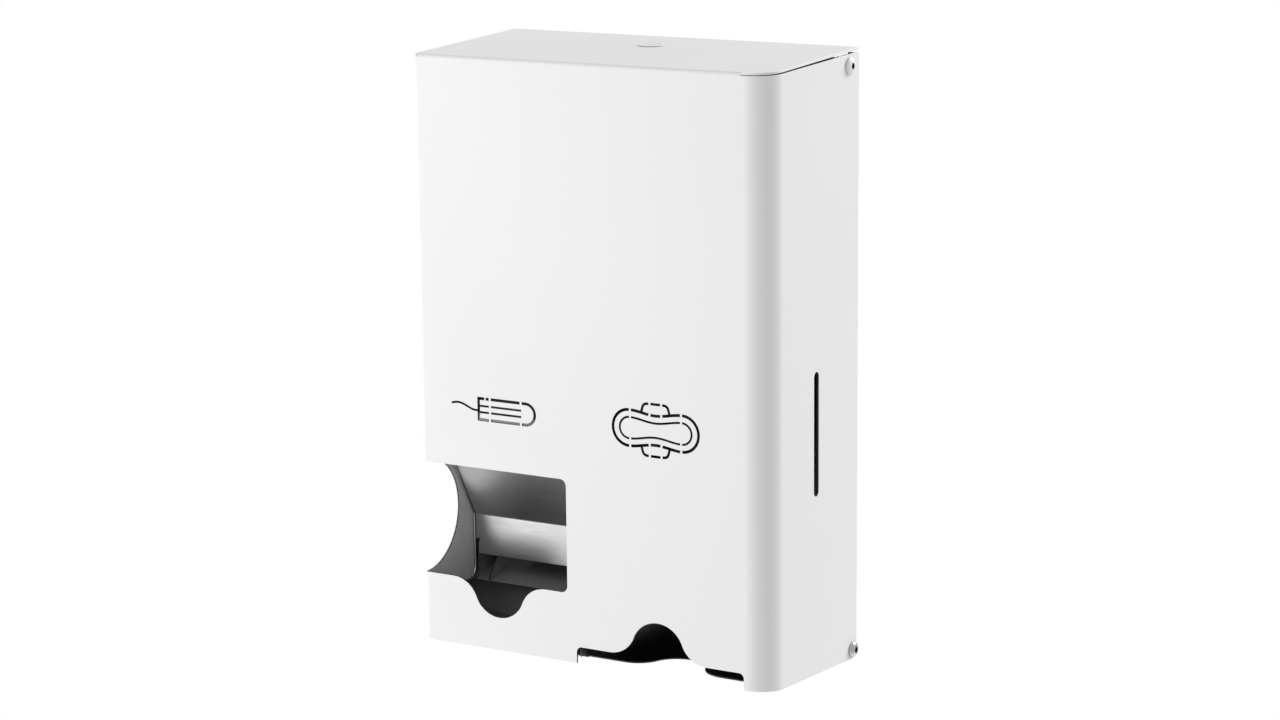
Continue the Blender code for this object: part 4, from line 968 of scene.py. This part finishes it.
def make_fasteners():
    for side, s in (("left", -1), ("right", 1)):
        button("hinge_bolt_" + side, axis_frame(s * (HW + 0.3), HINGE_Y, HINGE_Z, (s, 0, 0)), 5.4, 3.0, 3.0, 10.5,
               "frame", "hinge_screw_" + side, "fastener_steel", [SILVER, SHADE_EDGE])
        bm = bmesh.new()
        lathe(bm, turned([(3.3, 0.0, 0), (4.2, 0.0, 0.2), (4.2, 1.9, 0.2), (3.3, 1.9, 0)]),
              axis_frame(s * (FRAME_X + 0.15), HINGE_Y, HINGE_Z, (s, 0, 0)), 40, True)
        Piece("hinge_spacer_" + side, bm).done("frame", "hinge_bush_" + side, "nylon", NYLON, 0.0)
        nut("hinge_hex_" + side, axis_frame(s * (FRAME_X - FRAME_T - 0.3), HINGE_Y, HINGE_Z, (-s, 0, 0)), 10.0, 3.3, 5.0,
            "frame", "hinge_nut_" + side, "fastener_steel", SILVER)
        button("locating_bolt_" + side, axis_frame(s * (HW + 0.3), TOP_SCREW_Y, TOP_SCREW_Z, (s, 0, 0)), 5.7, 2.6, 3.0, 7.8,
               "cover", "locating_screw_" + side, "white_paint", [WHITE, SHADE_EDGE])
        bm = bmesh.new()
        lathe(bm, turned([(3.3, 0.0, 0), (4.3, 0.0, 0.15), (4.3, 4.1, 0.25), (3.9, 4.5, 0), (3.3, 4.5, 0)]),
              axis_frame(s * (HW - SKIN - 0.3), TOP_SCREW_Y, TOP_SCREW_Z, (-s, 0, 0)), 40, True)
        Piece("locating_ring_" + side, bm).done("cover", "locating_collar_" + side, "fastener_steel", SILVER, 0.0)


# ------------------------------------------------------------------------ lock
def make_lock():
    f = LOCK_FRAME
    bm = bmesh.new()
    thread = []
    h = -19.0
    while h < -2.6:
        thread += [(7.4, h), (7.15, h + 0.4)]
        h += 0.8
    lathe(bm, [(6.3, -19.5), (7.1, -19.5)] + thread + [(7.3, -0.3), (7.3, 0.25), (8.5, 0.25), (8.6, 0.34), (8.58, 0.48), (8.45, 0.6),
                                                      (8.2, 0.68), (6.6, 0.68), (6.4, 0.62), (6.3, 0.5)], f, 64, True)
    Piece("lock_barrel", bm).done("cover", "lock_body", "white_paint", WHITE, 0.0)
    nut("lock_hex", f @ Matrix.Translation((0, 0, -0.0018)) @ Matrix.Rotation(math.pi, 4, "X"), 19.0, 7.7, 3.2,
        "cover", "lock_nut", "lock_plating", NICKEL)
    bm = bmesh.new()
    lathe(bm, [(0, -22.5), (3.3, -22.5), (3.5, -22.2), (3.5, -20.5), (6.0, -20.5), (6.0, 0.3), (5.9, 0.45), (5.7, 0.54), (0, 0.54)], f, 56)
    p = Piece("lock_cylinder", bm)
    bm = bmesh.new()
    outline = fillet([(-3.4, 0.0), (-3.4, -0.55), (3.4, -0.55), (3.4, 0.55), (-3.4, 0.55), (-3.4, 0.05)], 0.3, 4)[1:-1]
    lo = [bm.verts.new(f @ Vector((x * 0.001, y * 0.001, -0.005))) for x, y in outline]
    hi = [bm.verts.new(f @ Vector((x * 0.001, y * 0.001, 0.003))) for x, y in outline]
    bm.faces.new(lo)
    bm.faces.new(hi[::-1])
    for i in range(len(outline)):
        j = (i + 1) % len(outline)
        bm.faces.new((lo[j], lo[i], hi[i], hi[j]))
    p.op(bm)
    bm = bmesh.new()
    lathe(bm, [(0, -25.0), (2.1, -25.0), (2.1, -17.0), (0, -17.0)], f, 32)
    p.op(bm)
    p.done("lock", "lock_plug", "white_paint", WHITE, 0.06)
    outline = fillet([(0.0, -6.0), (6.0, -6.0), (5.6, 24.0), (3.6, 27.0), (-3.6, 27.0), (-5.6, 24.0), (-6.0, -6.0), (-0.1, -6.0)],
                     [5.0, 3.0, 2.5, 2.5, 3.0, 5.0], 8)[1:-1]
    bm = bmesh.new()
    lo = [bm.verts.new(f @ Vector((x * 0.001, y * 0.001, -0.0228))) for x, y in outline]
    hi = [bm.verts.new(f @ Vector((x * 0.001, y * 0.001, -0.0208))) for x, y in outline]
    bm.faces.new(lo)
    bm.faces.new(hi[::-1])
    for i in range(len(outline)):
        j = (i + 1) % len(outline)
        bm.faces.new((lo[j], lo[i], hi[i], hi[j]))
    p = Piece("lock_tongue", bm)
    bm = bmesh.new()
    lathe(bm, [(0, -26.0), (3.8, -26.0), (3.8, -18.0), (0, -18.0)], f, 40)
    p.op(bm)
    p.done("lock", "lock_cam", "lock_plating", SILVER, 0.12)
    bm = bmesh.new()
    lathe(bm, [(0, -25.6), (3.2, -25.6), (4.2, -25.3), (4.6, -24.8), (4.6, -23.3), (4.4, -23.1), (1.8, -23.1), (1.8, -18.0), (0, -18.0)], f, 40)
    p = Piece("lock_tongue_screw", bm)
    bm = bmesh.new()
    for turn in (0.0, 90.0):
        m = f @ Matrix.Rotation(math.radians(turn), 4, "Z")
        vs = [bm.verts.new(m @ Vector((x * 0.001, y * 0.001, z * 0.001)))
              for z in (-27.0, -24.3) for x, y in ((-2.2, -0.45), (2.2, -0.45), (2.2, 0.45), (-2.2, 0.45))]
        for q in ((3, 2, 1, 0), (4, 5, 6, 7), (0, 1, 5, 4), (1, 2, 6, 5), (2, 3, 7, 6), (3, 0, 4, 7)):
            bm.faces.new([vs[i] for i in q])
        if turn == 0.0:
            p.op(bm)
            bm = bmesh.new()
    p.op(bm)
    p.done("lock", "lock_cam_screw", "lock_plating", SILVER, 0.0)


make_cover()
make_frame()
make_divider()
make_chute()
make_trough()
make_guard()
make_tray()
make_keeper()
make_rivets()
make_fasteners()
make_lock()


# --------------------------------------------------------------- floor, lights
bm = bmesh.new()
bmesh.ops.create_circle(bm, cap_ends=True, segments=96, radius=2.3)
me = bpy.data.meshes.new("floor")
bm.to_mesh(me)
bm.free()
floor = bpy.data.objects.new("floor", me)
floor.location = (0.0, 0.0, -1.30)
bpy.context.scene.collection.objects.link(floor)
mf, nt, b = new_material("floor_pale")
cloud = noise(nt, coords(nt), 1.2, 3.0)
link(nt, ramp(nt, cloud, [(0.3, grey(0.86)), (0.7, grey(0.90))]), b.inputs["Base Color"])
b.inputs["Roughness"].default_value = 0.8
me.materials.append(mf)


def area(name, loc, aim, size, power, size_y=None):
    l = bpy.data.lights.new(name, "AREA")
    l.energy = power
    l.size = size
    if size_y:
        l.shape = "RECTANGLE"
        l.size_y = size_y
    o = bpy.data.objects.new(name, l)
    o.location = loc
    o.rotation_mode = "QUATERNION"
    o.rotation_quaternion = (Vector(aim) - Vector(loc)).to_track_quat("-Z", "Y")
    bpy.context.scene.collection.objects.link(o)
    return o


def ring(az, el, dist):
    """Place around the object: azimuth 0 is in front (-Y), 90 at the right (+X)."""
    a, e = math.radians(az), math.radians(el)
    return (dist * math.sin(a) * math.cos(e), -dist * math.cos(a) * math.cos(e) - 0.06, dist * math.sin(e))


CENTRE = (0.0, -0.06, 0.0)
area("key_left", ring(-58, -6, 6.0), CENTRE, 2.6, 150.0)
area("fill_right", ring(152, 28, 4.5), CENTRE, 2.4, 176.0)
area("top_front", ring(-38, 30, 1.1), CENTRE, 0.5, 1.5)
area("low_card", ring(-30, -10, 2.5), CENTRE, 0.8, 6.0)

world = bpy.data.worlds.new("studio")
bpy.context.scene.world = world
world.use_nodes = True
wn = world.node_tree
bg = wn.nodes["Background"]
bg.inputs["Color"].default_value = (1.0, 1.0, 1.0, 1.0)
bg.inputs["Strength"].default_value = 0.60
seen = wn.nodes.new("ShaderNodeBackground")
seen.inputs["Color"].default_value = (1.0, 1.0, 1.0, 1.0)
seen.inputs["Strength"].default_value = 1.0
path = wn.nodes.new("ShaderNodeLightPath")
mix = wn.nodes.new("ShaderNodeMixShader")
wn.links.new(path.outputs["Is Camera Ray"], mix.inputs["Fac"])
wn.links.new(bg.outputs["Background"], mix.inputs[1])
wn.links.new(seen.outputs["Background"], mix.inputs[2])
wn.links.new(mix.outputs["Shader"], wn.nodes["World Output"].inputs["Surface"])

# ---------------------------------------------------------------------- camera
cam = bpy.data.cameras.new("view")
cam.sensor_width = 36.0
cam.lens = 90.30
cam.clip_start, cam.clip_end = 0.05, 60.0
cam_ob = bpy.data.objects.new("view", cam)
bpy.context.scene.collection.objects.link(cam_ob)
A, E, R = 0.525012236, 0.210043955, -0.00999164951
back = Vector((math.sin(A) * math.cos(E), -math.cos(A) * math.cos(E), math.sin(E)))
right = Vector((math.cos(A), math.sin(A), 0.0))
up = back.cross(right)
rx = right * math.cos(R) + up * math.sin(R)
uy = up * math.cos(R) - right * math.sin(R)
m = Matrix((rx, uy, back)).transposed().to_4x4()
m.translation = Vector((1.04968, -1.74671 - 0.126, 0.64109 - 0.195))
cam_ob.matrix_world = m
bpy.context.scene.camera = cam_ob

bpy.context.scene.view_settings.view_transform = "Standard"
bpy.context.scene.view_settings.look = "None"
